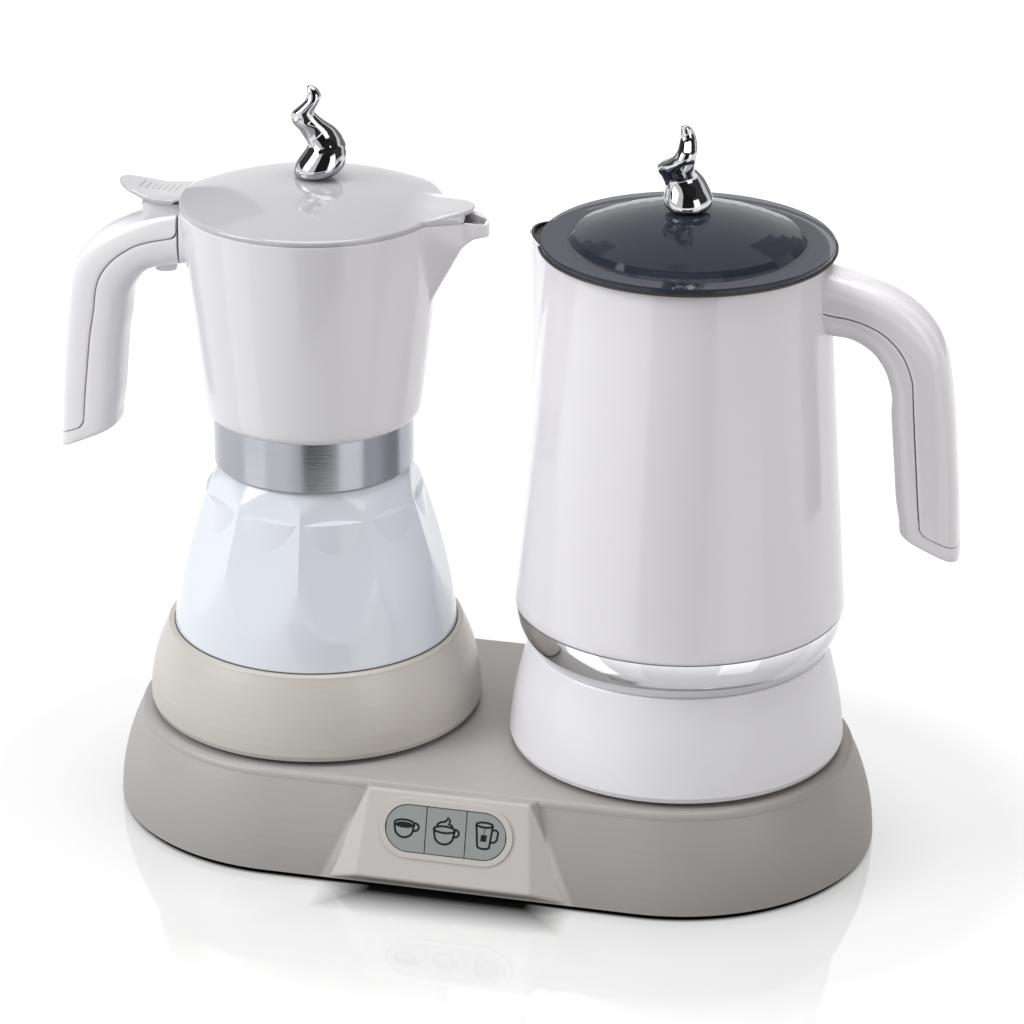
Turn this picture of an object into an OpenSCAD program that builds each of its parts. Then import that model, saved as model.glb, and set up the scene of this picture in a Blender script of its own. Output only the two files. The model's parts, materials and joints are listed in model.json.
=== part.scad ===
// Two-seat breakfast appliance: an electric moka pot and a milk frothing jug that stand on
// one powered station. Millimetres, +Z up, +X towards the frothing jug, the keys face -Y.
// The origin is the centre of the station on the table.

/* [Station] */
// Distance between the two seats
seat_spacing = 144.5; // [142:0.5:170]
// Radius of the station's round ends at the bottom
station_r = 77.5; // [75:0.5:85]
// Height of the station's flat top above the table
station_h = 41; // [40:0.5:50]
// How far the station's wall leans in from bottom to top
station_lean = 8.5; // [6:0.5:10]
// Wall of the moulded station shell
shell_wall = 2.5; // [2:0.1:3.2]
// Height of the rubber feet below the shell
foot_h = 2.5; // [2:0.1:4]
// Radius of a rubber foot
foot_r = 8; // [6:0.5:10]
// Thickness of the station's bottom plate
plate_t = 2.5; // [2:0.1:3]

/* [Key panel] */
// Width of the panel at the top
panel_top_w = 64; // [60:1:70]
// Width of the panel at its lower edge
panel_bottom_w = 70; // [66:1:76]
// Width over the panel's flanks where they meet the station's lower edge
panel_flank_w = 95; // [90:1:100]
// Distance of the panel's top edge in front of the station's centre line
panel_out = 74; // [73:0.5:76]
// Lean of the panel's face from the vertical
panel_tilt = 17; // [14:1:20]
// Slant height of the panel's face
panel_slant = 35; // [33:0.5:36]
// Length of the row of three keys
key_row_l = 46.5; // [42:0.5:52]
// Height of the row of keys
key_row_h = 17.7; // [16:0.1:19]
// Gap between a key and its neighbours
key_gap = 0.4; // [0.3:0.05:0.6]
// How far a key stands proud of the panel
key_proud = 0.5; // [0.2:0.1:1]
// Travel of a key
key_travel = 1.2; // [0.8:0.1:1.5]
// Thickness of a key's cap
key_cap_t = 3; // [2.6:0.1:3.6]

/* [Power connector] */
// Radius of the round connector boss on each seat
socket_r = 17; // [15:0.5:18]
// Height of the connector boss above the station's top
socket_h = 8; // [7:0.5:9]
// Radial clearance between a connector boss and its cup in a jug's base
plug_clear = 0.6; // [0.4:0.1:1]
// Radius of the central contact pin
pin_r = 1.6; // [1.2:0.1:2]
// Middle radius of the ring contact
ring_contact_r = 10; // [8:0.5:12]
// Thickness of the ring contact
ring_contact_t = 1.2; // [0.8:0.1:1.6]
// Clearance round the contacts
contact_clear = 0.6; // [0.4:0.1:1]

/* [Jug seats] */
// Gap between the station's top and the edge of a jug's base
seat_gap = 2; // [1.5:0.1:3]
// Radius of the raised plinth that a jug rests on
plinth_r = 57; // [50:0.5:58]
// Thickness of a jug's base cover
cover_t = 2.5; // [2:0.1:3]
// Wall of the jugs' base rings
base_wall = 2.5; // [2:0.1:3]

/* [Moka boiler] */
// Radius of the moka pot's base ring at the bottom
moka_ring_r = 65; // [62:0.5:66]
// Height of the moka pot's base ring
moka_ring_h = 32.5; // [30:0.5:36]
// Radius of the boiler where it leaves the base ring
boiler_r = 55.2; // [54.5:0.1:55.8]
// Height of the boiler above the base ring, up to the collar
boiler_h = 67; // [62:0.5:72]
// Number of facets round the boiler
facet_count = 10; // [8:1:12]
// Wall of the cast boiler
boiler_wall = 3; // [2.5:0.1:3.5]
// Radius of the boiler's threaded neck
neck_r = 32.5; // [31:0.1:33]
// Height of the boiler's neck above its shoulder
neck_h = 9.5; // [8.5:0.5:11]
// Depth of the boiler below the top of the base ring
boiler_sunk = 19; // [17:0.5:20]

/* [Moka collar and filter] */
// Outer radius of the metal collar
collar_r = 38.6; // [38:0.1:39.5]
// Height of the metal collar
collar_h = 20.5; // [20:0.5:23]
// Radius of the funnel's coffee basket
basket_r = 26; // [24:0.5:26.5]
// Depth of the funnel's coffee basket
basket_depth = 26; // [22:1:30]
// Radius of the funnel's stem
stem_r = 4.5; // [4:0.1:6]
// Wall of the funnel
funnel_wall = 0.8; // [0.6:0.1:1]
// Thickness of the rubber gasket
gasket_t = 2.6; // [2:0.1:3]
// Running clearance of the screwed joint
screw_clear = 0.3; // [0.2:0.05:0.5]
// Thread pitch of the collar
thread_pitch = 3; // [2:0.5:4]

/* [Moka jug] */
// Radius of the moka jug at the bottom
jug_bottom_r = 41.2; // [41:0.1:42.5]
// Radius of the moka jug at the rim
jug_top_r = 50; // [49:0.5:51]
// Height of the moka jug from the collar to its rim
jug_h = 82.5; // [78:0.5:88]
// Wall of the moka jug
jug_wall = 2.2; // [1.8:0.1:2.6]
// Radius of the coffee column
column_r = 7; // [6:0.5:9]
// Height of the coffee column above the jug's floor
column_h = 46; // [40:1:55]
// Reach of the pouring beak from the jug's axis
beak_reach = 69.5; // [67:0.5:72]
// Half width of the beak where it leaves the jug's rim
beak_half_w = 21; // [18:0.5:22]
// Half width of the beak at its mouth
mouth_half_w = 8.2; // [7.6:0.1:9]

/* [Moka lid] */
// Thickness of the moka lid
lid_t = 2; // [1.6:0.1:2.4]
// Height of the lid's dome above its edge
lid_dome_h = 9; // [8:0.5:11]
// Distance of the hinge pin from the jug's axis
hinge_r = 63; // [62:0.5:64]
// Radius of the hinge pin
hinge_pin_r = 1.5; // [1.2:0.1:1.8]
// Reach of the thumb lever from the jug's axis
lever_reach = 75.5; // [74:0.5:78]
// Width of the thumb lever
lever_w = 23.6; // [21:0.2:25]
// Number of grip ribs on the thumb lever
lever_ribs = 7; // [4:1:8]

/* [Frothing jug] */
// Radius of the frothing jug at its lower edge
froth_bottom_r = 63.3; // [62:0.1:64]
// Radius of the frothing jug at the rim
froth_top_r = 52.6; // [51.5:0.1:53]
// Height of the frothing jug's painted body
froth_body_h = 142.5; // [130:0.5:150]
// Wall of the frothing jug's painted body
froth_wall = 1.6; // [1.4:0.1:2]
// Gap between the painted body and the inner pot
froth_air = 3; // [2.5:0.1:4]
// Wall of the inner pot
pot_wall = 1.2; // [1:0.1:1.6]
// Height of the white base ring
froth_ring_h = 39.8; // [38:0.2:42]
// Radius of the white base ring at the bottom
froth_ring_r = 64.5; // [63.5:0.1:65.5]
// Height of the mirror band
band_h = 16.2; // [15:0.1:18]
// Radius of the mirror band at its foot
band_foot_r = 56.5; // [56:0.1:57.2]
// Reach of the frothing jug's spout from its axis
froth_spout_reach = 60.3; // [59:0.1:62]
// Radius of the see-through lid
froth_lid_r = 55.1; // [54.5:0.1:56]
// Height of the see-through lid's dome
froth_dome_h = 11; // [9:0.5:12]

/* [Whisk] */
// Radius of the whisk's ring, at the middle of its coil
whisk_ring_r = 15; // [14:0.5:18]
// Radius of the whisk's coil
whisk_coil_r = 3.4; // [3:0.1:3.6]
// Diameter of the whisk's wire
whisk_wire_d = 1; // [0.8:0.1:1.1]
// Number of curls round the whisk
whisk_curls = 28; // [20:1:28]

/* [Handles] */
// Width of both handles
handle_w = 21; // [19:0.5:23]
// Gap of the seam between a handle's two halves
seam_gap = 0.4; // [0.3:0.1:0.6]
// Thickness of the moka handle's grip
moka_grip_t = 23.4; // [21:0.2:24]
// Distance of the moka grip's middle from the jug's axis, at the top
moka_grip_r = 84.5; // [84:0.1:86]
// Length of the moka handle below its arm
moka_grip_drop = 83.2; // [80:0.2:86]
// Thickness of the frothing jug handle's grip
froth_grip_t = 23.5; // [22:0.1:25]
// Distance of the frothing jug grip's middle from its axis, at the top
froth_grip_r = 88.8; // [87:0.1:91]
// Length of the frothing jug handle below its arm
froth_grip_drop = 92.4; // [88:0.2:98]

/* [Knobs] */
// Height of the twisted knobs
knob_h = 35.8; // [33:0.1:38]
// Radius of the knobs' bulb
knob_r = 9.1; // [8:0.1:10]

/* [Hidden] */
$fn = 96;

// Seats and levels shared by the pieces
moka_x = -seat_spacing / 2;
froth_x = seat_spacing / 2;
plate_top = foot_h + plate_t;
rest_z = station_h + seat_gap;
ring_top_z = rest_z + moka_ring_h;
shoulder_z = ring_top_z + boiler_h;
rim_z = shoulder_z + neck_h;
jug_floor_z = shoulder_z + collar_h;
jug_rim_z = jug_floor_z + jug_h;
touch = 0.05;
slack = 0.2;

// Radii of a wall that leans in as it rises: straight part, then growing inward curve
function lean_r(r0, lean, curve, t) = r0 - lean * t - curve * t * t;
function lean_wall(r0, lean, curve, z0, h, n, cut) =
  [for (i = [0 : n]) [lean_r(r0, lean, curve, i / n) - cut, z0 + h * i / n]];
// Points of a quarter round from angle a0 to a1
function arc_pts(cx, cz, r, a0, a1, n) =
  [for (i = [0 : n]) let (a = a0 + (a1 - a0) * i / n) [cx + r * cos(a), cz + r * sin(a)]];

module at_moka() translate([moka_x, 0, 0]) children();
module at_froth() translate([froth_x, 0, 0]) children();
module tube(r_out, r_in, z0, z1) translate([0, 0, z0]) difference() {
  cylinder(r = r_out, h = z1 - z0);
  translate([0, 0, -1]) cylinder(r = r_in, h = z1 - z0 + 2);
}
module rod(r, z0, z1) translate([0, 0, z0]) cylinder(r = r, h = z1 - z0);
module ring_of(count, r, start = 0)
  for (i = [0 : count - 1]) rotate([0, 0, start + i * 360 / count]) translate([r, 0, 0]) children();
// Closed skin over rings of points that all have the same count
module skin(rings) {
  n = len(rings[0]);
  m = len(rings);
  polyhedron(
    points = [for (ring = rings) for (q = ring) q],
    faces = concat(
      [[for (i = [0 : n - 1]) i]],
      [for (j = [0 : m - 2]) for (i = [0 : n - 1]) [j * n + i, (j + 1) * n + i, (j + 1) * n + (i + 1) % n]],
      [for (j = [0 : m - 2]) for (i = [0 : n - 1]) [j * n + i, (j + 1) * n + (i + 1) % n, j * n + (i + 1) % n]],
      [[for (i = [n - 1 : -1 : 0]) (m - 1) * n + i]]
    )
  );
}

// The station's shell: round ends and a straight middle with one wall profile
edge_round = 3;
wall_steps = 10;
function station_profile(cut) = let (
    h = station_h - edge_round - foot_h,
    top_r = lean_r(station_r, 0, station_lean, 1)
  ) concat(
    [[0, foot_h]],
    lean_wall(station_r, 0, station_lean, foot_h, h, wall_steps, cut),
    arc_pts(top_r - edge_round, station_h - edge_round, edge_round - min(cut, edge_round), 12, 90, 4),
    [[0, station_h - cut]]
  );
module station_solid(cut) {
  for (x = [moka_x, froth_x]) translate([x, 0, 0]) rotate_extrude() polygon(station_profile(cut));
  rotate([90, 0, 90]) translate([0, 0, moka_x]) linear_extrude(seat_spacing) {
    polygon(station_profile(cut));
    mirror([1, 0]) polygon(station_profile(cut));
  }
}

// The panel's own frame: x along the keys, y up the slope, z out of the face
face_low_y = panel_out + panel_slant * sin(panel_tilt);
face_low_z = station_h - panel_slant * cos(panel_tilt);
key_mid_s = 13.7;
module on_panel() translate([0, -panel_out, station_h]) rotate([90 - panel_tilt, 0, 0])
  translate([0, -key_mid_s, 0]) children();
panel_edge_r = 1.5;
module panel_ball(x, y, z) translate([x, y, z]) sphere(r = panel_edge_r, $fn = 16);
module panel_block() {
  e = panel_edge_r;
  hull() for (s = [-1, 1]) {
    panel_ball(s * (panel_top_w / 2 - e), -panel_out + e, station_h - e);
    panel_ball(s * (panel_bottom_w / 2 - e), -face_low_y + e, face_low_z + e);
    translate([s * (panel_flank_w / 2 - 1), -station_r + 1.5, foot_h + 0.5]) cube(1, center = true);
    translate([s * (panel_top_w / 2 + 1), -station_r + station_lean + 3, station_h - 1.5]) cube(1, center = true);
    translate([s * (panel_flank_w / 2 - 6), -station_r + 12, foot_h + 0.5]) cube(1, center = true);
  }
}
module pill(l, h, t) {
  for (s = [-1, 1]) translate([s * (l - h) / 2, 0, 0]) cylinder(d = h, h = t);
  translate([-(l - h) / 2, -h / 2, 0]) cube([l - h, h, t]);
}
lip_w = 2.6;
lip_h = 0.7;
panel_wall = 2.6;
guide_clear = 0.35;
guide_depth = 11;

screw_r = 1.6;
screw_head_r = 3;
screw_head_h = 1.8;
boss_r = 3.6;
station_screw_xy = [for (x = [moka_x - 48, moka_x + 40, froth_x - 40, froth_x + 48]) for (s = [-1, 1])
  [x, s * 44]];
module station_bosses() for (q = station_screw_xy) translate([q[0], q[1], 0]) children();

gland_r = 3.5;
gland_z = 17;
gland_flange_r = 6.5;
gland_body_r = 5;

module station_top_shell() color([0.72, 0.69, 0.65]) difference() {
  union() {
    difference() {
      union() {
        station_solid(0);
        panel_block();
        on_panel() translate([0, 0, -1]) pill(key_row_l + 2 * lip_w, key_row_h + 2 * lip_w, 1 + lip_h);
      }
      station_solid(shell_wall);
      translate([0, 0, foot_h - 1]) for (x = [moka_x, froth_x]) translate([x, 0, 0])
        cylinder(r = station_r - shell_wall, h = plate_t + 1);
      translate([moka_x, -station_r + shell_wall, foot_h - 1])
        cube([seat_spacing, 2 * (station_r - shell_wall), plate_t + 1]);
      // Pocket behind the panel for the key guide
      on_panel() translate([-panel_top_w / 2 + 3, -key_row_h / 2 - 3.5, -guide_depth - 3])
        cube([panel_top_w - 6, key_row_h + 7, guide_depth + 3 - panel_wall]);
    }
    for (x = [moka_x, froth_x]) translate([x, 0, 0])
      tube(plinth_r, plinth_r - 4, station_h - shell_wall, rest_z);
    intersection() {
      station_bosses() rod(boss_r, plate_top, station_h - touch);
      station_solid(shell_wall / 2);
    }
  }
  station_bosses() rod(screw_r - slack, foot_h, station_h - shell_wall - 4);
  // Window for the keys
  on_panel() translate([0, 0, -guide_depth]) pill(key_row_l + 2 * key_gap, key_row_h + 2 * key_gap, guide_depth + 3);
  // Seats of the two connectors
  for (x = [moka_x, froth_x]) translate([x, 0, 0]) rod(socket_r, station_h - shell_wall - 1, station_h + 1);
  // Hole for the cord's gland in the back wall
  translate([0, station_r - 12, gland_z]) rotate([-90, 0, 0]) cylinder(r = gland_body_r, h = 20);
}

module station_bottom_plate() color([0.24, 0.24, 0.25]) difference() {
  union() {
    for (x = [moka_x, froth_x]) translate([x, 0, 0])
      rod(station_r - shell_wall - slack, foot_h, plate_top);
    translate([moka_x, -(station_r - shell_wall - slack), foot_h])
      cube([seat_spacing, 2 * (station_r - shell_wall - slack), plate_t]);
  }
  station_bosses() {
    rod(screw_r + slack, foot_h - 1, plate_top + 1);
    rod(screw_head_r + slack, foot_h - 1, foot_h + screw_head_h - 1);
  }
  // Blind seats of the feet
  feet_places() rod(foot_r, foot_h - 1, foot_h + 0.8);
}
module feet_places() {
  for (x = [moka_x, froth_x]) for (s = [-1, 1]) translate([x, s * 56, 0]) children();
  children();
}
module station_feet() color([0.15, 0.15, 0.16]) feet_places() {
  rod(foot_r, 0.6, foot_h + 0.8);
  translate([0, 0, 0]) cylinder(r1 = foot_r - 0.6, r2 = foot_r, h = 0.6);
}
module screw(head_z, tip_z) {
  up = tip_z > head_z ? 1 : -1;
  translate([0, 0, head_z]) mirror([0, 0, up > 0 ? 0 : 1]) {
    difference() {
      cylinder(r = screw_head_r, h = screw_head_h - 1);
      // Cross recess
      for (a = [0, 90]) rotate([0, 0, a]) translate([-1.6, -0.35, -1]) cube([3.2, 0.7, 1.5]);
    }
    cylinder(r = screw_r - slack, h = abs(tip_z - head_z));
  }
}
module station_screws() color("silver") station_bosses() screw(foot_h, plate_top + 9);

module cord_gland() color([0.2, 0.2, 0.21]) difference() {
  translate([0, 0, gland_z]) rotate([-90, 0, 0]) {
    translate([0, 0, station_r - 9]) cylinder(r = gland_body_r, h = 12);
    translate([0, 0, station_r - 10.5]) cylinder(r = gland_flange_r, h = 2.5);
    translate([0, 0, station_r + 0.3]) cylinder(r = gland_flange_r, h = 2.7);
  }
  translate([0, station_r - 14, gland_z]) rotate([-90, 0, 0]) cylinder(r = gland_r, h = 30);
}

// Power sockets on the station and plugs in the jugs' bases
socket_top = station_h + socket_h;
slot_floor = station_h - 1;
socket_flange_r = socket_r + 4;
plug_roof = socket_top + 0.6;
plug_top = plug_roof + 2.4;
plug_r = socket_r + plug_clear + 2.6;
module ring_slot(z0, z1) tube(ring_contact_r + ring_contact_t / 2 + contact_clear,
  ring_contact_r - ring_contact_t / 2 - contact_clear, z0, z1);
module power_socket() color([0.2, 0.2, 0.21]) difference() {
  union() {
    rod(socket_flange_r, station_h - shell_wall - 3, station_h - shell_wall);
    rod(socket_r - touch, station_h - shell_wall - 3, socket_top - 1);
    translate([0, 0, socket_top - 1]) cylinder(r1 = socket_r - touch, r2 = socket_r - 1, h = 1);
  }
  ring_slot(slot_floor, socket_top + 1);
  rod(pin_r + contact_clear, slot_floor, socket_top + 1);
}
module moka_power_socket() at_moka() power_socket();
module frother_power_socket() at_froth() power_socket();
module socket_contacts() color([0.85, 0.7, 0.35]) for (x = [moka_x, froth_x]) translate([x, 0, 0]) {
  tube(ring_contact_r + ring_contact_t / 2, ring_contact_r - ring_contact_t / 2, slot_floor, rest_z + 0.4);
  rod(pin_r, slot_floor, rest_z + 0.4);
}
module power_plug() color([0.16, 0.16, 0.17]) {
  tube(plug_r, socket_r + plug_clear, rest_z, plug_top);
  rod(plug_r, plug_roof, plug_top);
  tube(ring_contact_r + ring_contact_t / 2, ring_contact_r - ring_contact_t / 2, rest_z + 1, plug_top);
  rod(pin_r, rest_z + 1, plug_top);
}

// Keys, their guide, switches and boards, all in the panel's own frame
key_pitch = key_row_l / 3;
key_flange_t = 1.2;
key_stem_r = 2.2;
guide_top = -(panel_wall + touch + key_flange_t + key_travel + 0.4);
guide_t = 2;
key_foot = guide_top - guide_t - 1.6;
switch_r = 2.4;
plunger_r = 1.2;
plunger_top = key_foot - key_travel - 0.2;
switch_h = 2.2;
plunger_h = 1.2;
board_top = plunger_top - plunger_h - switch_h;
board_t = 1.6;
module third_of_pill(i, l, h, z0, z1, gap) intersection() {
  translate([0, 0, z0]) pill(l, h, z1 - z0);
  translate([(i - 0.5) * key_pitch + gap / 2, -h, z0 - 1])
    cube([key_pitch - gap, 2 * h, z1 - z0 + 2]);
}
module key(i) color([0.6, 0.65, 0.63]) on_panel() {
  third_of_pill(i, key_row_l, key_row_h, key_proud - key_cap_t, key_proud, key_gap);
  third_of_pill(i, key_row_l, key_row_h, -panel_wall - touch - key_flange_t, key_proud - key_cap_t + touch, key_gap);
  // Lugs above and below that keep the key in its window
  for (s = [-1, 1]) translate([i * (key_pitch - 1.5) - 3, s > 0 ? key_row_h / 2 - 2 : -key_row_h / 2 - 1.4,
    -panel_wall - touch - key_flange_t]) cube([6, 3.4, key_flange_t]);
  translate([i * key_pitch, 0, key_foot]) cylinder(r = key_stem_r, h = -panel_wall - key_foot);
}
module button_left() key(-1);
module button_middle() key(0);
module button_right() key(1);
module dome(i) color([0.85, 0.85, 0.83]) on_panel() translate([i * key_pitch, 0, board_top])
  rotate_extrude() polygon([
    [switch_r + 1.1, 0], [switch_r + 1.9, 0], [key_stem_r, key_foot - board_top], [key_stem_r - 0.7, key_foot - board_top]
  ]);
module return_dome_left() dome(-1);
module return_dome_middle() dome(0);
module return_dome_right() dome(1);
guide_w = panel_top_w - 7.5;
guide_h = key_row_h + 5.6;
module key_guide() color([0.8, 0.8, 0.78]) on_panel() difference() {
  union() {
    translate([-guide_w / 2, -guide_h / 2, guide_top - guide_t]) cube([guide_w, guide_h, guide_t]);
    for (sx = [-1, 1]) for (sy = [-1, 1]) translate([sx * (guide_w / 2 - 2), sy * (guide_h / 2 - 2), board_top])
      translate([-2, -2, 0]) cube([4, 4, -panel_wall - board_top]);
  }
  for (i = [-1 : 1]) translate([i * key_pitch, 0, guide_top - guide_t - 1])
    cylinder(r = key_stem_r + 0.08, h = guide_t + 2);
}
module tact_switches() color([0.1, 0.1, 0.11]) on_panel() for (i = [-1 : 1]) translate([i * key_pitch, 0, board_top]) {
  cylinder(r = switch_r, h = switch_h);
  cylinder(r = plunger_r, h = switch_h + plunger_h);
}
module key_board() color([0.1, 0.35, 0.2]) on_panel()
  translate([-guide_w / 2, -guide_h / 2, board_top - board_t]) cube([guide_w, guide_h, board_t]);
// Flat control board on four posts, with its relays and a capacitor
ctrl_z = plate_top + 5;
ctrl_w = 70;
ctrl_d = 44;
module control_board() color([0.1, 0.35, 0.2]) translate([0, 18, 0]) {
  translate([-ctrl_w / 2, -ctrl_d / 2, ctrl_z]) cube([ctrl_w, ctrl_d, board_t]);
  for (sx = [-1, 1]) for (sy = [-1, 1]) translate([sx * (ctrl_w / 2 - 5), sy * (ctrl_d / 2 - 5), 0])
    rod(3, plate_top, ctrl_z);
  for (sx = [-1, 1]) translate([sx * 20 - 9, -12, ctrl_z + board_t]) cube([18, 15, 15]);
  translate([0, 10, 0]) rod(6, ctrl_z + board_t, ctrl_z + board_t + 14);
}

// Base of the moka pot
boiler_floor_z = ring_top_z - boiler_sunk;
ring_curve = 7.1;
ring_foot = 2;
top_round = 1.2;
base_screw_r = 58.5;
base_screws = 3;
base_screw_turn = 30;
module base_ring(r0, lean, curve, h, hole_r) {
  wall_h = h - ring_foot - top_round;
  top_r = lean_r(r0, lean, curve, 1);
  rotate_extrude() polygon(concat(
    [[r0 - base_wall, rest_z], [r0 - 0.7, rest_z]],
    lean_wall(r0, lean, curve, rest_z + ring_foot, wall_h, 8, 0),
    arc_pts(top_r - top_round, rest_z + h - top_round, top_round, 15, 90, 3),
    [[hole_r, rest_z + h], [hole_r, rest_z + h - base_wall]],
    [[top_r - base_wall - 1, rest_z + h - base_wall]],
    [for (i = [7 : -1 : 0]) [lean_r(r0, lean, curve, i / 8) - base_wall, rest_z + ring_foot + wall_h * i / 8]]
  ));
  intersection() {
    ring_of(base_screws, base_screw_r, base_screw_turn) rod(boss_r, rest_z + cover_t + slack, rest_z + 16);
    rod(r0 - base_wall / 2, rest_z, rest_z + 20);
  }
}
module boss_holes() ring_of(base_screws, base_screw_r, base_screw_turn) rod(screw_r - slack, rest_z, rest_z + 13);
module boiler_base_ring() color([0.74, 0.72, 0.67]) at_moka() difference() {
  base_ring(moka_ring_r, 0, ring_curve, moka_ring_h, boiler_r + slack);
  boss_holes();
}
module base_cover(r) color([0.2, 0.2, 0.21]) difference() {
  rod(r, rest_z, rest_z + cover_t);
  rod(plug_r + touch, rest_z - 1, rest_z + cover_t + 1);
  ring_of(base_screws, base_screw_r, base_screw_turn) {
    rod(screw_r + slack, rest_z - 1, rest_z + 5);
    rod(screw_head_r + slack, rest_z - 1, rest_z + screw_head_h - 1);
  }
}
module base_screw_set() color("silver") ring_of(base_screws, base_screw_r, base_screw_turn)
  screw(rest_z, rest_z + 12);
module boiler_base_cover() at_moka() base_cover(moka_ring_r - base_wall - slack);
module boiler_base_screws() at_moka() base_screw_set();
module boiler_power_plug() at_moka() power_plug();

// Cast boiler: a turned barrel cut by flat facets
facet_turn = -82;
facet_low = 12.5;
facet_fall = 0.308;
boiler_lean = 6.7;
boiler_curve = 10;
shoulder_r = boiler_r - 18.9;
shoulder_h = 8.5;
boiler_skirt_r = boiler_r - 1.5;
facet_low_r = lean_r(boiler_r, boiler_lean, boiler_curve, facet_low / boiler_h);
function facet_r(z) = facet_low_r - facet_fall * (z - ring_top_z - facet_low);
module boiler_blank() intersection() {
  rotate_extrude() polygon(concat(
    [[0, boiler_floor_z], [boiler_skirt_r, boiler_floor_z], [boiler_skirt_r, ring_top_z - 1]],
    [for (i = [0 : 8]) let (t = i / 8 * (1 - shoulder_h / boiler_h))
      [lean_r(boiler_r, boiler_lean, boiler_curve, t), ring_top_z + boiler_h * t]],
    [[shoulder_r, shoulder_z], [0, shoulder_z]]
  ));
  rotate([0, 0, facet_turn]) translate([0, 0, boiler_floor_z]) cylinder(
    r1 = facet_r(boiler_floor_z) / cos(180 / facet_count),
    r2 = facet_r(shoulder_z + 1) / cos(180 / facet_count),
    h = shoulder_z + 1 - boiler_floor_z, $fn = facet_count
  );
}
neck_bore = basket_r + funnel_wall + 0.4;
valve_turn = facet_turn + 180 - 180 / facet_count;
valve_z = 115;
valve_r = 3.5;
// Frame of the valve: z points out of the facet that it sits in
module at_valve() rotate([0, 0, valve_turn]) translate([facet_r(valve_z), 0, valve_z])
  rotate([0, 90 - atan(facet_fall), 0]) children();
module boiler() color([0.86, 0.89, 0.93]) at_moka() difference() {
  union() {
    boiler_blank();
    rod(neck_r, shoulder_z - 4, rim_z);
  }
  rotate_extrude() polygon([
    [0, boiler_floor_z + boiler_wall], [boiler_skirt_r - boiler_wall, boiler_floor_z + boiler_wall],
    [boiler_skirt_r - boiler_wall, ring_top_z],
    [facet_low_r - boiler_wall - 0.6, ring_top_z + facet_low],
    [facet_r(shoulder_z - 10) - boiler_wall, shoulder_z - 10],
    [neck_bore, shoulder_z - 3], [neck_bore, rim_z + 1], [0, rim_z + 1]
  ]);
  at_valve() translate([0, 0, -12]) cylinder(r = valve_r, h = 30);
}
module safety_valve() color([0.8, 0.68, 0.4]) at_moka() at_valve() {
  translate([0, 0, -boiler_wall - 1.5]) cylinder(r = valve_r, h = boiler_wall + 3);
  translate([0, 0, touch]) cylinder(r = 6, h = 3.5, $fn = 6);
  translate([0, 0, 3]) cylinder(r = 2.6, h = 3.4);
}
element_r = 35;
element_tube_r = 3.5;
module heating_ring(r, z_top) color([0.45, 0.43, 0.42]) {
  rotate_extrude() translate([r, z_top - element_tube_r]) circle(r = element_tube_r, $fn = 32);
  for (a = [-12, 12]) rotate([0, 0, a + 200]) translate([r, 0, 0]) rod(1.6, z_top - element_tube_r - 7, z_top - element_tube_r);
}
module boiler_heating_element() at_moka() heating_ring(element_r, boiler_floor_z);
module boiler_thermostat() color([0.75, 0.72, 0.7]) at_moka() translate([0, 24, 0]) {
  rod(6, plug_top + 0.8, boiler_floor_z);
  translate([-4, -0.4, plug_top + 0.3]) cube([8, 0.8, 2]);
}

// Coffee funnel
funnel_flange_r = neck_r - 1.2;
funnel_floor_z = rim_z - basket_depth;
stem_foot_z = boiler_floor_z + boiler_wall + 5;
cone_h = 14;
module coffee_funnel() color([0.78, 0.79, 0.8]) at_moka() {
  tube(funnel_flange_r, basket_r, rim_z, rim_z + funnel_wall);
  tube(basket_r + funnel_wall, basket_r, funnel_floor_z, rim_z + touch);
  difference() {
    rod(basket_r + touch, funnel_floor_z, funnel_floor_z + funnel_wall);
    ring_of(8, basket_r / 2) rod(1.2, funnel_floor_z - 1, funnel_floor_z + 2);
    ring_of(12, basket_r * 0.8) rod(1.2, funnel_floor_z - 1, funnel_floor_z + 2);
  }
  rotate_extrude() polygon([
    [stem_r, stem_foot_z], [stem_r, funnel_floor_z - cone_h], [basket_r + funnel_wall, funnel_floor_z - 2],
    [basket_r + funnel_wall, funnel_floor_z + touch], [basket_r, funnel_floor_z + touch],
    [basket_r, funnel_floor_z - 2 + funnel_wall / 2], [stem_r - funnel_wall, funnel_floor_z - cone_h + funnel_wall / 2],
    [stem_r - funnel_wall, stem_foot_z]
  ]);
}

// Screwed joint: collar, gasket and filter plate
gasket_z = rim_z + funnel_wall + touch;
filter_z = gasket_z + gasket_t;
filter_t = 1;
web_z = filter_z + filter_t;
web_t = 2;
collar_bore = neck_r + screw_clear;
column_flange_r = 11;
column_flange_t = jug_floor_z - web_z - web_t;
module threaded_collar() color([0.77, 0.77, 0.78]) at_moka() difference() {
  union() {
    rod(collar_r, shoulder_z + 1, jug_floor_z);
    translate([0, 0, shoulder_z]) cylinder(r1 = collar_r - 0.8, r2 = collar_r, h = 1);
  }
  rod(collar_bore, shoulder_z - 1, web_z);
  rod(column_flange_r - 2, web_z - 1, jug_floor_z + 1);
  rod(collar_r - 3.5, web_z + web_t, jug_floor_z + 1);
}
module sealing_gasket() color([0.9, 0.9, 0.88]) at_moka() tube(funnel_flange_r, basket_r - 1.5, gasket_z, filter_z);
module filter_plate() color([0.7, 0.71, 0.72]) at_moka() difference() {
  rod(funnel_flange_r + 0.6, filter_z, web_z);
  for (q = [[6, 4], [12, 8]]) ring_of(q[0], q[1]) rod(0.8, filter_z - 1, web_z + 1);
}
column_bore = 3.6;
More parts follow.
